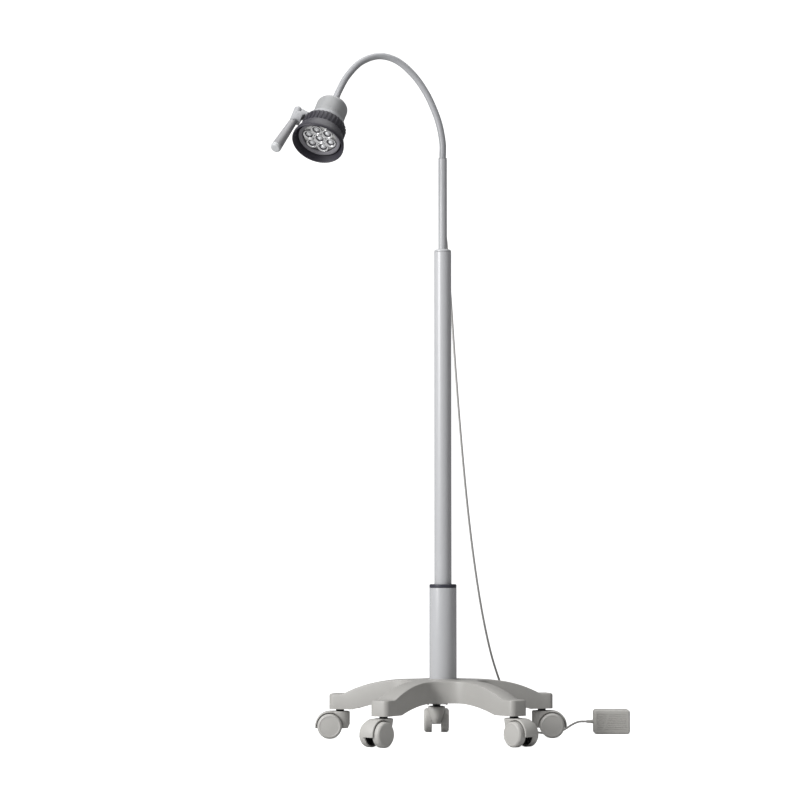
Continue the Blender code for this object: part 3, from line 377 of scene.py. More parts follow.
LEAD_D = 0.0048
LEAD_ROUTE = (
    (0.0000, 0.0230, 1.1580), (0.0001, 0.0340, 1.1579), (0.0010, 0.0440, 1.1560),
    (0.0026, 0.0520, 1.1505), (0.0046, 0.0575, 1.1410), (0.0067, 0.0602, 1.1280),
    (0.0100, 0.0615, 1.1030), (0.0185, 0.0630, 0.9880), (0.0284, 0.0650, 0.8400),
    (0.0398, 0.0690, 0.6920), (0.0534, 0.0760, 0.5440), (0.0682, 0.0845, 0.4157),
    (0.0860, 0.0955, 0.2973), (0.1063, 0.1083, 0.1987), (0.1264, 0.1213, 0.1316),
    (0.1462, 0.1340, 0.0820), (0.1661, 0.1466, 0.0470), (0.1857, 0.1589, 0.0242),
    (0.2050, 0.1711, 0.0102), (0.2199, 0.1805, 0.0044), (0.2360, 0.1905, 0.0027),
    (0.2530, 0.1992, 0.0026), (0.2700, 0.2052, 0.0052), (0.2850, 0.2080, 0.0125),
    (0.2985, 0.2090, 0.0210), (0.3130, 0.2090, 0.0268), (0.3300, 0.2090, 0.0275),
    (0.3560, 0.2090, 0.0275),
)

lead_line, lead_length = smooth_line(LEAD_ROUTE, 260)
lead_line = [COLUMN + p for p in lead_line]
lead = piece("power_lead", swept(lead_line, [LEAD_D / 2] * len(lead_line), 14), LEAD_SHEATH, None,
             ["power_cord"])
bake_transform(lead)

supply_low, supply_high = (Vector(c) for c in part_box("supply_front_shell"))
rear_low, rear_high = (Vector(c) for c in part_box("supply_back_shell"))
SUPPLY_LONG = supply_high.x - supply_low.x
SUPPLY_TALL = supply_high.z - supply_low.z
SUPPLY_CORNER = 0.0065


def case_half(depth, rim):
    """One shell of the case, its face at Z = depth and its open side at Z = 0."""
    bm = bmesh.new()
    bmesh.ops.create_cube(bm, size=1.0)
    bmesh.ops.scale(bm, vec=(SUPPLY_LONG, SUPPLY_TALL, depth), verts=bm.verts)
    bmesh.ops.translate(bm, vec=(0, 0, depth / 2), verts=bm.verts)
    corners = [e for e in bm.edges if abs(e.verts[0].co.z - e.verts[1].co.z) > depth / 2]
    bmesh.ops.bevel(bm, geom=corners, offset=SUPPLY_CORNER, segments=5, affect="EDGES", profile=0.5,
                    material=-1)
    face_rim = [e for e in bm.edges if all(v.co.z > depth / 2 for v in e.verts)]
    bmesh.ops.bevel(bm, geom=face_rim, offset=rim, segments=4, affect="EDGES", profile=0.5, material=-1)
    return bm


GROOVE_PITCH = 0.0043
GROOVE_WIDTH = 0.0017
front_depth = supply_high.y - supply_low.y
grooves = []
for row in range(9):
    across = (row - 4) * GROOVE_PITCH
    slant = 0.0016 * row
    for start, end in ((-0.034, -0.021 + slant), (-0.017 + slant, 0.034)):
        bar = block((end - start, GROOVE_WIDTH, 0.002), 0.0005, 1, ((start + end) / 2, across, front_depth))
        grooves.append(bar)
front_case = carved(case_half(front_depth, 0.004), [joined(*grooves)])
facing = Matrix.Translation((middle_of("supply_front_shell").x, supply_high.y,
                             middle_of("supply_front_shell").z))
facing = facing @ Matrix.Rotation(math.pi / 2, 4, "X")
front_shell = piece("supply_front_case", moved(front_case, facing), SUPPLY_MOULD, "base",
                    ["supply_front_shell"], 30)
rear_depth = rear_high.y - rear_low.y
away = Matrix.Translation((middle_of("supply_back_shell").x, rear_low.y, middle_of("supply_back_shell").z))
away = away @ Matrix.Rotation(-math.pi / 2, 4, "X")
rear_case = case_half(rear_depth, 0.003)
outwards(rear_case)
back_shell = piece("supply_rear_case", moved(rear_case, away), SUPPLY_MOULD, "base",
                   ["supply_back_shell"], 30)

relief_low = Vector(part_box("supply_strain_relief")[0])
relief_length = supply_low.x - relief_low.x
relief_profile = [(0, 0), (0.0030, 0)]
for band in range(5):
    z = 0.0015 + band * 0.0026
    radius = 0.0032 + 0.0002 * band
    relief_profile += [(radius, z), (radius + 0.0003, z + 0.0004), (radius + 0.0003, z + 0.0014),
                       (radius, z + 0.0018)]
relief_profile += [(0.0046, relief_length - 0.0006), (0.0046, relief_length), (0, relief_length)]
relief_place = Matrix.Translation((relief_low.x, middle_of("supply_strain_relief").y,
                                   middle_of("supply_strain_relief").z))
relief = piece("supply_relief", moved(turned(relief_profile, 32), relief_place
                                      @ Matrix.Rotation(math.pi / 2, 4, "Y")), SUPPLY_MOULD, "base",
               ["supply_strain_relief"])
paint(PLATED, "plug_pin_left", "plug_pin_right", "supply_core")


# ---------------------------------------------------------------- base

ARMS = 5
BASE_TURN = math.radians(20.7)
STEM_CIRCLE = (middle_of("castor_stem_1") - COLUMN).xy.length
ARM_HALF_WIDTH = 0.0228
ARM_CORNER = 0.012
CROTCH_R = 0.080
CROTCH_POWER = 2.6
ARM_TIP = STEM_CIRCLE + 0.021
HUB_TOP = height_of("star_base")[1]
HUB_UNDER = 0.085
FOOT = height_of("star_base")[0]
SOCKET_TOP = FOOT + 0.034
SHELL = 0.003           # the moulding's side walls
DECK = 0.0055           # its top, from the deck down to the hollow
RIM_ROUND = 0.0042
FALL_START = 0.075      # where an arm's top leaves the level of the hub
FALL_RUN = 0.150
FALL_POWER = 2.3
RISE_START = 0.080      # the same for its underside
RISE_RUN = 0.120
TUBE_R = 0.030
TUBE_BORE = 0.0278
STEM_BORE = 0.0058
STEM_POST_R = 0.0130
HUB_POST_R = 0.036


def reach_of(place):
    """How far out along its nearest arm a point of the base is."""
    turn = math.atan2(place.y, place.x) - BASE_TURN
    step = TURN / ARMS
    return place.xy.length * math.cos(turn - step * round(turn / step))


def top_level(place):
    share = min(1.0, max(0.0, (reach_of(place) - FALL_START) / FALL_RUN))
    return HUB_TOP + (SOCKET_TOP - HUB_TOP) * share ** FALL_POWER


def under_level(place):
    share = min(1.0, max(0.0, (reach_of(place) - RISE_START) / RISE_RUN))
    return HUB_UNDER + (FOOT - HUB_UNDER) * share ** 2


def arm_half(reach):
    start = CROTCH_R * math.cos(math.pi / ARMS)
    flare = CROTCH_R * math.sin(math.pi / ARMS) - ARM_HALF_WIDTH
    fade = min(1.0, (reach - start) / (CROTCH_POWER * flare * math.tan(math.pi / ARMS)))
    return ARM_HALF_WIDTH + flare * (1 - fade) ** CROTCH_POWER


def star_sheet():
    """The base's plan as a flat sheet: five arms and the hub between them."""
    straight_steps = 34
    corner_steps = 6
    count = straight_steps + corner_steps
    start = CROTCH_R * math.cos(math.pi / ARMS)
    straight = ARM_TIP - ARM_CORNER
    bm = bmesh.new()
    for arm in range(ARMS):
        sheet = bmesh.ops.create_grid(bm, x_segments=count, y_segments=2, size=0.5)["verts"]
        for vert in sheet:
            index = round((vert.co.x + 0.5) * count)
            side = 2 * vert.co.y
            if index <= straight_steps:
                reach = start + (straight - start) * (index / straight_steps) ** 1.25
                half = arm_half(reach)
            else:
                angle = math.pi / 2 * (index - straight_steps) / corner_steps
                reach = straight + ARM_CORNER * math.sin(angle)
                half = ARM_HALF_WIDTH - ARM_CORNER * (1 - math.cos(angle))
            vert.co = (reach, side * half, 0)
        tip = {f for v in sheet for f in v.link_faces if all(c.co.x > straight - 1e-6 for c in f.verts)}
        bmesh.ops.dissolve_faces(bm, faces=list(tip), use_verts=False)
        sheet = [v for v in sheet if v.is_valid]
        bmesh.ops.rotate(bm, verts=sheet, matrix=Matrix.Rotation(BASE_TURN + TURN * arm / ARMS, 3, "Z"))
    bmesh.ops.remove_doubles(bm, verts=bm.verts[:], dist=1e-5)
    hub = [e for e in bm.edges if e.is_boundary and all(v.co.xy.length < CROTCH_R + 1e-4 for v in e.verts)]
    bmesh.ops.edgeloop_fill(bm, edges=hub)
    bmesh.ops.recalc_face_normals(bm, faces=bm.faces[:])
    if bm.faces[0].normal.z < 0:
        bmesh.ops.reverse_faces(bm, faces=bm.faces[:])
    return bm


def make_base():
    bm = star_sheet()
    for vert in bm.verts:
        vert.co.z = top_level(vert.co)
    grown = bmesh.ops.extrude_face_region(bm, geom=bm.faces[:])["geom"]
    for vert in verts_of(grown):
        vert.co.z = under_level(vert.co)
    bm.normal_update()
    outwards(bm)
    rim = [e for e in bm.edges if len(e.link_faces) == 2 and e.calc_face_angle() > 0.9
           and all(abs(v.co.z - top_level(v.co)) < 1e-5 for v in e.verts)]
    bmesh.ops.bevel(bm, geom=rim, offset=RIM_ROUND, segments=2, affect="EDGES", profile=0.5, material=-1)
    bm.normal_update()
    soffit = [f for f in bm.faces if f.normal.z < -0.5]
    bmesh.ops.inset_region(bm, faces=soffit, thickness=SHELL, depth=0.0)
    inner = [f for f in soffit if f.is_valid]
    raised = bmesh.ops.extrude_face_region(bm, geom=inner)["geom"]
    bmesh.ops.delete(bm, geom=[f for f in inner if f.is_valid], context="FACES_ONLY")
    for vert in verts_of(raised):
        vert.co.z = top_level(vert.co) - DECK
    bmesh.ops.recalc_face_normals(bm, faces=bm.faces[:])
    posts = [ring_of([(0.004, HUB_UNDER), (HUB_POST_R, HUB_UNDER), (HUB_POST_R, HUB_TOP - 0.004),
                      (0.004, HUB_TOP - 0.004)], 0.0008, 64)]
    for number in range(1, ARMS + 1):
        place = Matrix.Translation((*(middle_of(f"castor_stem_{number}") - COLUMN).xy, 0))
        post = ring_of([(STEM_BORE, FOOT), (STEM_POST_R, FOOT), (STEM_POST_R, SOCKET_TOP - 0.004),
                        (STEM_BORE, SOCKET_TOP - 0.004)], 0.0006, 40)
        posts.append(moved(post, place))
    whole = joined(bm, *posts)
    return moved(whole, AT_COLUMN)


piece("base_moulding", make_base(), BASE_MOULD, "base", ["star_base"], 32)

tube_foot, tube_top = height_of("base_tube")
piece("base_upright", moved(ring_of([(TUBE_BORE, tube_foot + 0.004), (TUBE_BORE, tube_top),
                                     (TUBE_R, tube_top), (TUBE_R, tube_foot), (0.005, tube_foot),
                                     (0.005, tube_foot + 0.004)], 0.0005), AT_COLUMN), TUBE_COAT, "base",
      ["base_tube"])
piece("base_foot_ring", moved(ring_of([(0.0302, HUB_TOP - 0.0010), (0.0302, HUB_TOP + 0.0022),
                                       (0.0335, HUB_TOP + 0.0012), (0.0345, HUB_TOP - 0.0010)], 0.0006),
                              AT_COLUMN), BASE_MOULD, "base", ())
collar_foot, collar_top = height_of("guide_collar")
piece("slide_collar", moved(ring_of([(0.0195, collar_foot), (0.0275, collar_foot), (0.0275, tube_top + GAP),
                                     (TUBE_R, tube_top + GAP), (TUBE_R, collar_top - 0.0012),
                                     (0.0288, collar_top), (0.0195, collar_top)], 0.0007), AT_COLUMN),
      COLLAR_DARK, "base", ["guide_collar"])
paint(PLATED, "base_bolt")

# ---------------------------------------------------------------- castors

WHEEL_R = (height_of("castor_wheel_left_1")[1] - height_of("castor_wheel_left_1")[0]) / 2
TRAIL = 0.0225
HOOD_R = 0.0330
HOOD_HALF = 0.0165
HOOD_NECK_R = 0.0220
NECK_NARROW = 0.50      # the hood's neck is flattened across, less so towards its top
NECK_WIDEN = 0.44
WEB = 0.0098
ROOM = 0.0028
HOOD_TOP = WHEEL_R + HOOD_R
SIDEWAYS = Matrix.Rotation(math.pi / 2, 4, "X")
AT_AXLE = Matrix.Translation((TRAIL, 0, WHEEL_R))


def make_hood():
    """A castor's hood about its swivel axis, trailing along +X."""
    arc = [math.radians(-8 + 98 * step / 20) for step in range(21)]
    outline = [(TRAIL + HOOD_R * math.cos(a), WHEEL_R + HOOD_R * math.sin(a)) for a in arc]
    outline += [(-0.2 * HOOD_NECK_R, HOOD_TOP), (-0.2 * HOOD_NECK_R, WHEEL_R),
                (TRAIL - 0.5 * WHEEL_R, 0.7 * WHEEL_R), (TRAIL, 0.7 * WHEEL_R)]
    bm = bmesh.new()
    side = bm.faces.new([bm.verts.new((x, y, -HOOD_HALF)) for x, y in outline])
    grown = bmesh.ops.extrude_face_region(bm, geom=[side])["geom"]
    bmesh.ops.translate(bm, vec=(0, 0, 2 * HOOD_HALF), verts=verts_of(grown))
    bm.normal_update()
    rims = [e for e in bm.edges if abs(e.verts[0].co.z - e.verts[1].co.z) < 1e-6]
    bmesh.ops.bevel(bm, geom=rims, offset=0.0022, segments=3, affect="EDGES", profile=0.5, material=-1)
    moved(bm, SIDEWAYS)
    foot = 0.8 * WHEEL_R
    neck = turned(eased([(0, foot), (0.80 * HOOD_NECK_R, foot), (HOOD_NECK_R, foot + 0.3 * HOOD_R),
                         (HOOD_NECK_R, HOOD_TOP - 0.0015), (HOOD_NECK_R - 0.0015, HOOD_TOP), (0, HOOD_TOP)],
                        0.0020), 56)
    for vert in neck.verts:
        vert.co.y *= NECK_NARROW + NECK_WIDEN * (vert.co.z - foot) / (HOOD_TOP - foot)
    whole = carved(bm, [neck], "UNION")
    rooms = []
    for side in (1, -1):
        room = turned([(0, WEB), (WHEEL_R + ROOM, WEB), (WHEEL_R + ROOM, 2 * HOOD_NECK_R),
                       (0, 2 * HOOD_NECK_R)], 64)
        rooms.append(moved(room, AT_AXLE @ Matrix.Rotation(-side * math.pi / 2, 4, "X")))
    return carved(whole, [joined(*rooms)])


def make_wheel():
    """A wheel's tread and face about its own axle, its outer face towards +Z."""
    outer = 0.0290
    return turned(eased([(0, 0.0190), (WHEEL_R - 0.0040, 0.0190), (WHEEL_R - 0.0034, 0.0106),
                         (WHEEL_R - 0.0010, 0.0106), (WHEEL_R, 0.0120), (WHEEL_R, outer - 0.0046),
                         (WHEEL_R - 0.0022, outer - 0.0016), (WHEEL_R - 0.0050, outer - 0.0002),
                         (WHEEL_R - 0.0064, outer - 0.0011), (0.0070, outer - 0.0004), (0, outer - 0.0003)],
                        0.0014), 72)


def make_drum():
    """The dark ribbed disc set into a wheel's inner side."""
    rim = WHEEL_R - 0.0044
    shapes = [ring_of([(0.0033, 0.0110), (0.0062, 0.0110), (0.0074, 0.0155), (rim - 0.0020, 0.0155),
                       (rim - 0.0014, 0.0112), (rim, 0.0112), (rim, 0.0186), (0.0033, 0.0186)], 0.0004, 56)]
    for spoke in range(12):
        bar = block((rim - 0.0076, 0.0013, 0.0044), 0.0003, 1, ((rim + 0.0060) / 2, 0, 0.0138))
        shapes.append(moved(bar, Matrix.Rotation(TURN * spoke / 12, 4, "Z")))
    return joined(*shapes)


hood_shape = mesh_of("hood_shape", make_hood())
wheel_shape = make_wheel()
outwards(wheel_shape)
wheel_shape = mesh_of("wheel_shape", wheel_shape)
drum_shape = mesh_of("drum_shape", make_drum())


def stamped(shape, place):
    bm = bmesh.new()
    bm.from_mesh(shape)
    return moved(bm, place)


for number in range(1, ARMS + 1):
    stem = middle_of(f"castor_stem_{number}")
    axle = middle_of(f"castor_axle_{number}")
    trail = (axle - stem).xy
    yaw = math.atan2(trail.y, trail.x)
    here = Matrix.Translation((stem.x, stem.y, 0)) @ Matrix.Rotation(yaw, 4, "Z")
    piece(f"hood_{number}", stamped(hood_shape, here), CASTOR_MOULD, f"castor_{number}",
          [f"castor_hood_{number}"], 32)
    for side, turn in (("left", 1), ("right", -1)):
        at_wheel = here @ AT_AXLE @ Matrix.Rotation(-turn * math.pi / 2, 4, "X")
        piece(f"wheel_{side}_{number}", stamped(wheel_shape, at_wheel), CASTOR_MOULD,
              f"wheel_{side}_{number}", [f"castor_wheel_{side}_{number}"], 32)
        piece(f"drum_{side}_{number}", stamped(drum_shape, at_wheel), DARK_MOULD, f"wheel_{side}_{number}",
              ())
    stem_low, stem_high = height_of(f"castor_stem_{number}")
    stem_shape = turned(eased([(0, stem_low), (0.0050, stem_low), (0.0050, HOOD_TOP + GAP),
                               (0.0090, HOOD_TOP + GAP), (0.0090, FOOT - GAP), (0.0055, FOOT - GAP),
                               (0.0055, stem_high), (0, stem_high)], 0.0005), 40)
    outwards(stem_shape)
    piece(f"stem_{number}", moved(stem_shape, Matrix.Translation((stem.x, stem.y, 0))), DARK_MOULD, "base",
          [f"castor_stem_{number}"])
    paint(PLATED, f"castor_axle_{number}")

# ---------------------------------------------------------------- column and pole

column_foot, column_end = height_of("column_tube")
column_top = height_of("column_cap")[1]
pole_foot = height_of("lamp_pole")[0]
pole_top = height_of("pole_top_bush")[1]
COLUMN_R = 0.019
COLUMN_BORE = 0.017
POLE_R = 0.0095
POLE_BORE = 0.0080


def upright(name, profile, reach, finish, node):
    shape = ring_of(profile, reach)
    outwards(shape)
    return piece(name, moved(shape, AT_COLUMN), finish, "column", [node])


upright("upper_tube", [(COLUMN_BORE, column_foot), (COLUMN_R, column_foot), (COLUMN_R, column_end),
                       (COLUMN_BORE, column_end)], 0.0004, TUBE_COAT, "column_tube")
upright("tube_cap", [(0.0098, column_end - 0.045), (0.0167, column_end - 0.045), (0.0167, column_end + GAP),
                     (COLUMN_R, column_end + GAP), (COLUMN_R, column_top - 0.0040),
                     (0.0178, column_top - 0.0009), (0.0150, column_top), (0.0098, column_top)], 0.0010,
        TUBE_COAT, "column_cap")
upright("thin_pole", [(POLE_BORE, pole_foot), (POLE_R, pole_foot), (POLE_R, pole_top - 0.0018),
                      (POLE_BORE, pole_top - 0.0018)], 0.0004, POLE_COAT, "lamp_pole")
paint(DARK_MOULD, "column_foot_bush")
upright("pole_collar", [(0.0063, pole_top - 0.032), (0.0077, pole_top - 0.032), (0.0077, pole_top - 0.0015),
                        (POLE_R, pole_top - 0.0015), (POLE_R, pole_top), (0.0063, pole_top)], 0.0004,
        POLE_COAT, "pole_top_bush")
exit_height = middle_of("cord_grommet").z
grommet_shape = turned(eased([(0, 0.0075), (0.0040, 0.0075), (0.0040, 0.0098), (0.0055, 0.0098),
                              (0.0055, 0.0120), (0.0048, 0.0132), (0.0044, 0.0170), (0.0038, 0.0225),
                              (0, 0.0225)], 0.0005), 40)
outwards(grommet_shape)
piece("lead_grommet", moved(grommet_shape, AT_COLUMN @ Matrix.Translation((0, 0, exit_height))
                            @ Matrix.Rotation(-math.pi / 2, 4, "X")),
      LEAD_SHEATH, "column", ["cord_grommet"])

# ---------------------------------------------------------------- head frame

head_axis = (mean_of("focus_ring") - mean_of("rear_housing")).normalized()
on_axis = mean_of("rear_housing")
head_back = on_axis + head_axis * min((v.co - on_axis).dot(head_axis)
                                      for v in nodes["rear_housing"].data.vertices)
handle_way = mean_of("switch_button") - head_back
handle_way = (handle_way - handle_way.dot(head_axis) * head_axis).normalized()
across_way = head_axis.cross(handle_way)
AT_HEAD = Matrix.Translation(head_back) @ Matrix((handle_way, across_way, head_axis)).transposed().to_4x4()

# ---------------------------------------------------------------- neck

NECK_R = 0.0074
NECK_ROUTE = (
    (0.0000, 0.0000, 1.2920), (0.0000, 0.0000, 1.3230), (-0.0065, 0.0000, 1.3615),
    (-0.0180, 0.0000, 1.3965), (-0.0370, -0.0008, 1.4370), (-0.0650, -0.0035, 1.4765),
    (-0.1020, -0.0090, 1.5075), (-0.1420, -0.0170, 1.5165), (-0.1810, -0.0300, 1.5010),
    (-0.2105, -0.0465, 1.4680), (-0.2290, -0.0660, 1.4315), (-0.2415, -0.0925, 1.3950),
)
HEAD_RUN = 0.030
neck_route = [COLUMN + Vector(p) for p in NECK_ROUTE] + [head_back + head_axis * HEAD_RUN]
NECK_STEPS = 401
neck_line, neck_length = smooth_line(neck_route, NECK_STEPS)
neck_step = neck_length / (NECK_STEPS - 1)
neck_length -= HEAD_RUN
link = neck_length / 6


def neck_at(distance):
    place = min(max(distance / neck_step, 0.0), NECK_STEPS - 1.001)
    index = int(place)
    return neck_line[index].lerp(neck_line[index + 1], place - index)


def neck_part(start, end, count, radius=NECK_R):
    points = [neck_at(start + (end - start) * step / count) for step in range(count + 1)]
    return swept(points, [radius] * len(points), 28)


FERRULE_RUN = 0.012
NECK_PIN_R = 0.0060
neck_foot = turned(eased([(0, pole_top - 0.0150), (NECK_PIN_R, pole_top - 0.0150),
                          (NECK_PIN_R, pole_top + GAP), (NECK_R, pole_top + GAP),
                          (NECK_R, neck_at(0.002).z), (0, neck_at(0.002).z)], 0.0003), 28)
outwards(neck_foot)
first_part = joined(neck_part(0.0005, link / 2, 12), moved(neck_foot, AT_COLUMN))
piece("neck_sleeve_0", first_part, SLEEVE_SKIN, "neck_0", ["neck_link_0"])
for number in range(1, 6):
    start = link * (number - 0.5)
    end = link * (number + 0.5) if number < 5 else neck_length - FERRULE_RUN
    part = piece(f"neck_sleeve_{number}", neck_part(start, end, 30), SLEEVE_SKIN, None,
                 [f"neck_link_{number}"])
    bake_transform(part)
ferrule = turned(eased([(0, -0.0125), (NECK_R + 0.0002, -0.0125), (0.0085, -0.0105), (0.0085, -0.0008),
                        (0.0095, -0.0002), (0.0095, 0.0006), (0, 0.0006)], 0.0008), 48)
outwards(ferrule)
piece("neck_ferrule", moved(ferrule, AT_HEAD), HEAD_SHELL, "head", ())

# ---------------------------------------------------------------- head

HOUSING_R = 0.035
HOUSING_LONG = 0.066
BARREL_FRONT = 0.1043
COLLAR_WIDE = 0.0107
HANDLE_OUT = 0.067
RING_START = 0.0683
RING_END = 0.1250


def head_piece(name, bm, finish, body, stands_for, sharp=38):
    return piece(name, moved(bm, AT_HEAD), finish, body, stands_for, sharp)


def head_turned(name, profile, reach, finish, body, stands_for, steps=96):
    shape = turned(eased(profile, reach, closed=True, steps=4), steps, closed=True)
    outwards(shape)
    return head_piece(name, shape, finish, body, stands_for)


round_back = [(0.024 + 0.011 * math.sin(a), 0.011 * (1 - math.cos(a))) for a in
              (math.radians(9 * step) for step in range(11))]
head_turned("head_housing", [(0.0063, 0.0), *round_back, (HOUSING_R, 0.0405), (HOUSING_R - 0.0006, 0.0410),
                             (HOUSING_R - 0.0006, 0.0418), (HOUSING_R, 0.0423), (HOUSING_R, HOUSING_LONG),
                             (0.0325, HOUSING_LONG), (0.0325, 0.011), (0.024, 0.0025), (0.0063, 0.0025)],
            0.0004, HEAD_SHELL, "head", ["rear_housing"])
paint(DARK_MOULD, "optic_barrel")
paint(SINK_ALLOY, "heat_sink")
paint(BOARD_COAT, "led_board")


def make_ring():
    """The focusing ring: a plain flared bell with long grip ribs round its rear part."""
    bell = ring_of([(0.0444, RING_START), (0.0470, RING_START), (0.0476, RING_START + 0.0008),
                    (0.0476, RING_START + 0.0235), (0.0492, RING_START + 0.0252),
                    (0.0510, RING_START + 0.0300), (0.0556, RING_START + 0.0420),
                    (0.0578, RING_END - 0.0070), (0.0580, RING_END - 0.0018), (0.0568, RING_END),
                    (0.0552, RING_END), (0.0542, RING_END - 0.0022), (0.0512, 0.1115),
                    (0.0478, BARREL_FRONT + GAP), (0.0444, BARREL_FRONT + GAP)], 0.0015, 128)
    shapes = [bell]
    ribs = 32
    for rib in range(ribs):
        bar = block((0.0026, 0.0058, 0.0236), 0.0009, 2, (0.0477, 0, RING_START + 0.0124))
        shapes.append(moved(bar, Matrix.Rotation(TURN * (rib + 0.5) / ribs, 4, "Z")))
    return joined(*shapes)


head_piece("focus_bell", make_ring(), RING_DARK, "focus", ["focus_ring"], 35)
head_turned("lens_bezel", [(0.0388, BARREL_FRONT + 0.0006), (0.0470, BARREL_FRONT + 0.0006),
                           (0.0470, 0.1108), (0.0462, 0.1116), (0.0432, 0.1116), (0.0424, 0.1106),
                           (0.0402, 0.1104), (0.0388, 0.1092)], 0.0005, HOLDER_TONE, "head",
            ["lens_holder_ring"])

LENS_FACE = 0.1097
LENS_CIRCLE = 0.0252
LENS_R = 0.0124
WELL_IN = 0.0064
WELL_OUT = 0.0082


def lens_places():
    yield Matrix.Identity(4)
    for step in range(6):
        angle = TURN * step / 6
        yield Matrix.Translation((LENS_CIRCLE * math.cos(angle), LENS_CIRCLE * math.sin(angle), 0))


plate = turned(eased([(0, 0.0975), (0.0384, 0.0975), (0.0384, 0.1046), (0.0376, 0.1052), (0, 0.1052)],
                     0.0005), 96)
outwards(plate)
head_piece("lens_plate", plate, PLATED, "head", ["lens_array"])
cups = []
domes = []
wells = []
for place in lens_places():
    cup = turned(eased([(0, 0.1030), (LENS_R, 0.1030), (LENS_R, LENS_FACE - 0.0006),
                        (LENS_R - 0.0005, LENS_FACE), (LENS_R - 0.0018, LENS_FACE),
                        (0.0092, LENS_FACE - 0.0014), (0.0070, LENS_FACE - 0.0034),
                        (0.0052, LENS_FACE - 0.0050), (0, LENS_FACE - 0.0052)], 0.0008), 40)
    cups.append(moved(cup, place))
    well = turned([(WELL_IN, LENS_FACE - 0.0033), (WELL_OUT, LENS_FACE - 0.0017),
                   (WELL_OUT, LENS_FACE - 0.0060), (WELL_IN, LENS_FACE - 0.0060)], 40, closed=True)
    outwards(well)
    wells.append(moved(well, place))
    dome = turned([(0, LENS_FACE - 0.0054)]
                  + [(0.0050 * math.cos(a), LENS_FACE - 0.0054 + 0.0042 * math.sin(a))
                     for a in (math.radians(10 * step) for step in range(9))] + [(0, LENS_FACE - 0.0012)],
                  32)
    domes.append(moved(dome, place))
head_piece("lens_cups", joined(*cups), MIRRORED, "head", ())
head_piece("lens_domes", joined(*domes), LENS_DOME, "head", ())
head_piece("lens_wells", joined(*wells), RING_DARK, "head", ())

# ---------------------------------------------------------------- handle

COLLAR_BACK = HOUSING_LONG - COLLAR_WIDE
BOSS_MIDDLE = RING_START
BOSS_HALF = 0.020
BOSS_R = 0.0090
WEB_HALF = 0.0105
BORE_CLEAR = 0.0076     # the web stops this far from the boss's axis, outside the button's bore


def make_bracket():
    collar = ring_of([(HOUSING_R + GAP, COLLAR_BACK), (0.0412, COLLAR_BACK), (0.0420, COLLAR_BACK + 0.0010),
                      (0.0420, HOUSING_LONG), (HOUSING_R + GAP, HOUSING_LONG)], 0.0006)
    web = [(0.038, COLLAR_BACK + GAP), (0.050, COLLAR_BACK - 0.0015),
           (HANDLE_OUT - BORE_CLEAR, BOSS_MIDDLE - 0.0165), (HANDLE_OUT - BORE_CLEAR, BOSS_MIDDLE - 0.0070),
           (HANDLE_OUT, BOSS_MIDDLE - 0.0070), (HANDLE_OUT, BOSS_MIDDLE + BOSS_HALF - 0.002),
           (0.0535, BOSS_MIDDLE + BOSS_HALF - 0.002), (0.0520, HOUSING_LONG + 0.003),
           (0.0490, HOUSING_LONG), (0.038, HOUSING_LONG)]
    arm = bmesh.new()
    side = arm.faces.new([arm.verts.new((x, -WEB_HALF, z)) for x, z in web])
    grown = bmesh.ops.extrude_face_region(arm, geom=[side])["geom"]
    bmesh.ops.translate(arm, vec=(0, 2 * WEB_HALF, 0), verts=verts_of(grown))
    bmesh.ops.recalc_face_normals(arm, faces=arm.faces[:])
    rims = [e for e in arm.edges if abs(e.verts[0].co.y - e.verts[1].co.y) < 1e-6]
    bmesh.ops.bevel(arm, geom=rims, offset=0.0020, segments=3, affect="EDGES", profile=0.5, material=-1)
    boss = ring_of([(0.0070, BOSS_MIDDLE - BOSS_HALF), (BOSS_R - 0.0012, BOSS_MIDDLE - BOSS_HALF),
                    (BOSS_R, BOSS_MIDDLE - BOSS_HALF + 0.0016), (BOSS_R, BOSS_MIDDLE + BOSS_HALF),
                    (0.0045, BOSS_MIDDLE + BOSS_HALF), (0.0045, BOSS_MIDDLE - BOSS_HALF + 0.012),
                    (0.0070, BOSS_MIDDLE - BOSS_HALF + 0.011)], 0.0008, 56)
    moved(boss, Matrix.Translation((HANDLE_OUT, 0, 0)))
    return joined(collar, arm, boss)


head_piece("handle_arm", make_bracket(), BRACKET_WHITE, "head", ["handle_bracket"])
BUTTON_BACK = BOSS_MIDDLE - BOSS_HALF
BUTTON_R = 0.0066
button_dome = [(BUTTON_R * math.cos(a) ** 0.8, BUTTON_BACK - 0.0006 - 0.0039 * math.sin(a)) for a in
               (math.radians(9 * step) for step in range(10))]
button = turned([(0, BUTTON_BACK + 0.008), (BUTTON_R, BUTTON_BACK + 0.008), *button_dome,
                 (0, BUTTON_BACK - 0.0045)], 48)
outwards(button)
head_piece("button_cap", moved(button, Matrix.Translation((HANDLE_OUT, 0, 0))), BRACKET_WHITE, "button",
           ["switch_button"])

GRIP_SPLAY = 8.5        # degrees
SPLAYED = (Matrix.Translation((HANDLE_OUT, 0, BOSS_MIDDLE + BOSS_HALF))
           @ Matrix.Rotation(math.radians(GRIP_SPLAY), 4, "Y"))
GRIP_LONG = 0.094
grip = turned(eased([(0, -0.012), (0.004, -0.012), (0.004, 0.0020), (0.0076, 0.0020), (0.0087, 0.0032),
                     (0.0102, 0.047), (0.0115, GRIP_LONG - 0.0093), (0, GRIP_LONG - 0.0093)], 0.0009), 56)
outwards(grip)
head_piece("grip_rod", moved(grip, SPLAYED), GRIP_GREY, "head", ["handle_grip"])
grip_cap = turned(eased([(0, GRIP_LONG - 0.0087), (0.0113, GRIP_LONG - 0.0087), (0.0118, GRIP_LONG - 0.0080),
                         (0.0118, GRIP_LONG - 0.0040), (0.0104, GRIP_LONG - 0.0008), (0.0080, GRIP_LONG),
                         (0, GRIP_LONG)], 0.0012, steps=4), 56)
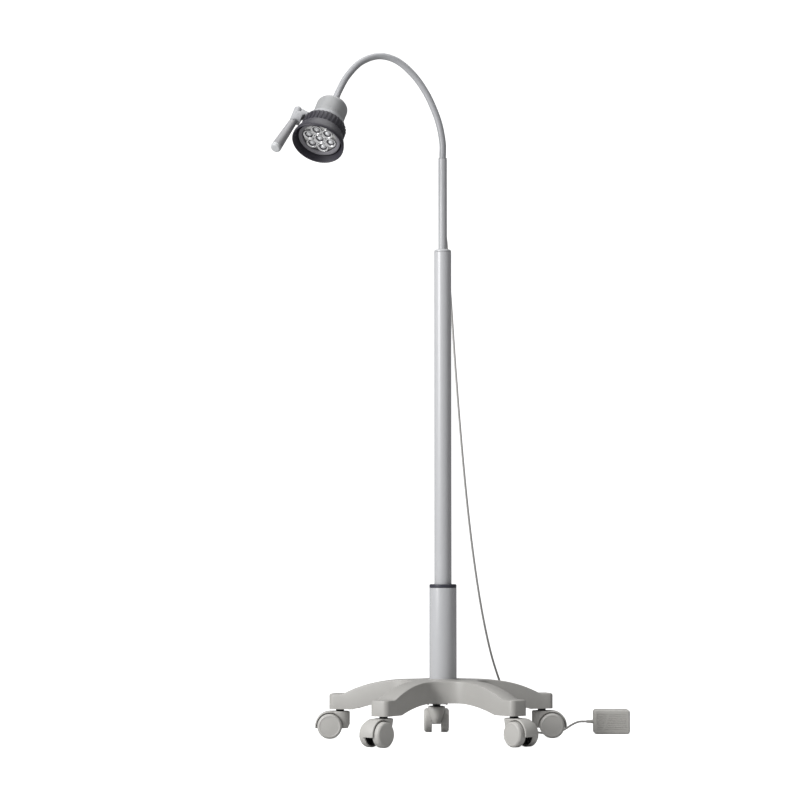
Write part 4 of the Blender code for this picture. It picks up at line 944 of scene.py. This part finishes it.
outwards(grip_cap)
head_piece("grip_cap", moved(grip_cap, SPLAYED), CAP_WHITE, "head", ["grip_end_cap"])

# ---------------------------------------------------------------- floor and light


def sweep_floor():
    """A floor that curves up into a backdrop."""
    bm = bmesh.new()
    profile = [(-9.0, 0.0), (3.0, 0.0)]
    profile += [(3.0 + 2.0 * math.sin(a), 2.0 * (1 - math.cos(a))) for a in
                (math.radians(9 * step) for step in range(1, 11))]
    profile.append((5.0, 8.0))
    corners = [bm.verts.new((-9.0, y, z)) for y, z in profile]
    edges = [bm.edges.new(pair) for pair in zip(corners, corners[1:])]
    grown = bmesh.ops.extrude_edge_only(bm, edges=edges)["geom"]
    bmesh.ops.translate(bm, vec=(18.0, 0, 0), verts=verts_of(grown))
    bmesh.ops.recalc_face_normals(bm, faces=bm.faces[:])
    if bm.faces[0].normal.z < 0:
        bmesh.ops.reverse_faces(bm, faces=bm.faces[:])
    return bm


FLOOR_GLOW = 0.92       # the floor is this bright to the camera
floor_paint = bpy.data.materials.new("floor_paint")
floor_paint.use_nodes = True
floor_shader = floor_paint.node_tree.nodes["Principled BSDF"]
floor_shader.inputs["Base Color"].default_value = (0.55, 0.55, 0.55, 1.0)
floor_shader.inputs["Roughness"].default_value = 0.9
floor_shader.inputs["Emission Color"].default_value = (1.0, 1.0, 1.0, 1.0)
seen = floor_paint.node_tree.nodes.new("ShaderNodeLightPath")
glow = floor_paint.node_tree.nodes.new("ShaderNodeMath")
glow.operation = "MULTIPLY"
glow.inputs[1].default_value = FLOOR_GLOW
wire(floor_paint.node_tree, (seen.outputs["Is Camera Ray"], glow.inputs[0]),
     (glow.outputs["Value"], floor_shader.inputs["Emission Strength"]))
floor_mesh = mesh_of("studio_floor", sweep_floor())
floor_mesh.materials.append(floor_paint)
floor = bpy.data.objects.new("studio_floor", floor_mesh)
bpy.context.scene.collection.objects.link(floor)

SKY_LIGHT = 0.17        # what the world gives the lamp; the camera sees it as white
world = bpy.data.worlds.new("studio")
world.use_nodes = True
world.node_tree.nodes["Background"].inputs["Color"].default_value = (1.0, 1.0, 1.0, 1.0)
sky = world.node_tree.nodes["Background"]
sky_seen = world.node_tree.nodes.new("ShaderNodeLightPath")
sky_level = world.node_tree.nodes.new("ShaderNodeMath")
sky_level.operation = "MULTIPLY_ADD"
sky_level.inputs[1].default_value = 1 - SKY_LIGHT
sky_level.inputs[2].default_value = SKY_LIGHT
wire(world.node_tree, (sky_seen.outputs["Is Camera Ray"], sky_level.inputs[0]),
     (sky_level.outputs["Value"], sky.inputs["Strength"]))
bpy.context.scene.world = world


def soft_light(name, place, aim, size, power):
    lamp = bpy.data.lights.new(name, "AREA")
    lamp.shape = "RECTANGLE"
    lamp.size, lamp.size_y = size
    lamp.energy = power
    made = bpy.data.objects.new(name, lamp)
    made.location = place
    made.rotation_euler = (Vector(aim) - Vector(place)).to_track_quat("-Z", "Y").to_euler()
    bpy.context.scene.collection.objects.link(made)


soft_light("key", (-3.2, -2.6, 2.4), (0, 0, 0.8), (1.4, 2.6), 210)
soft_light("fill", (3.4, -3.4, 1.6), (0, 0, 0.7), (2.0, 2.4), 6)
soft_light("top", (0.2, 0.4, 3.6), (0, 0, 0.6), (2.4, 2.4), 55)

bpy.context.scene.view_settings.view_transform = "Standard"
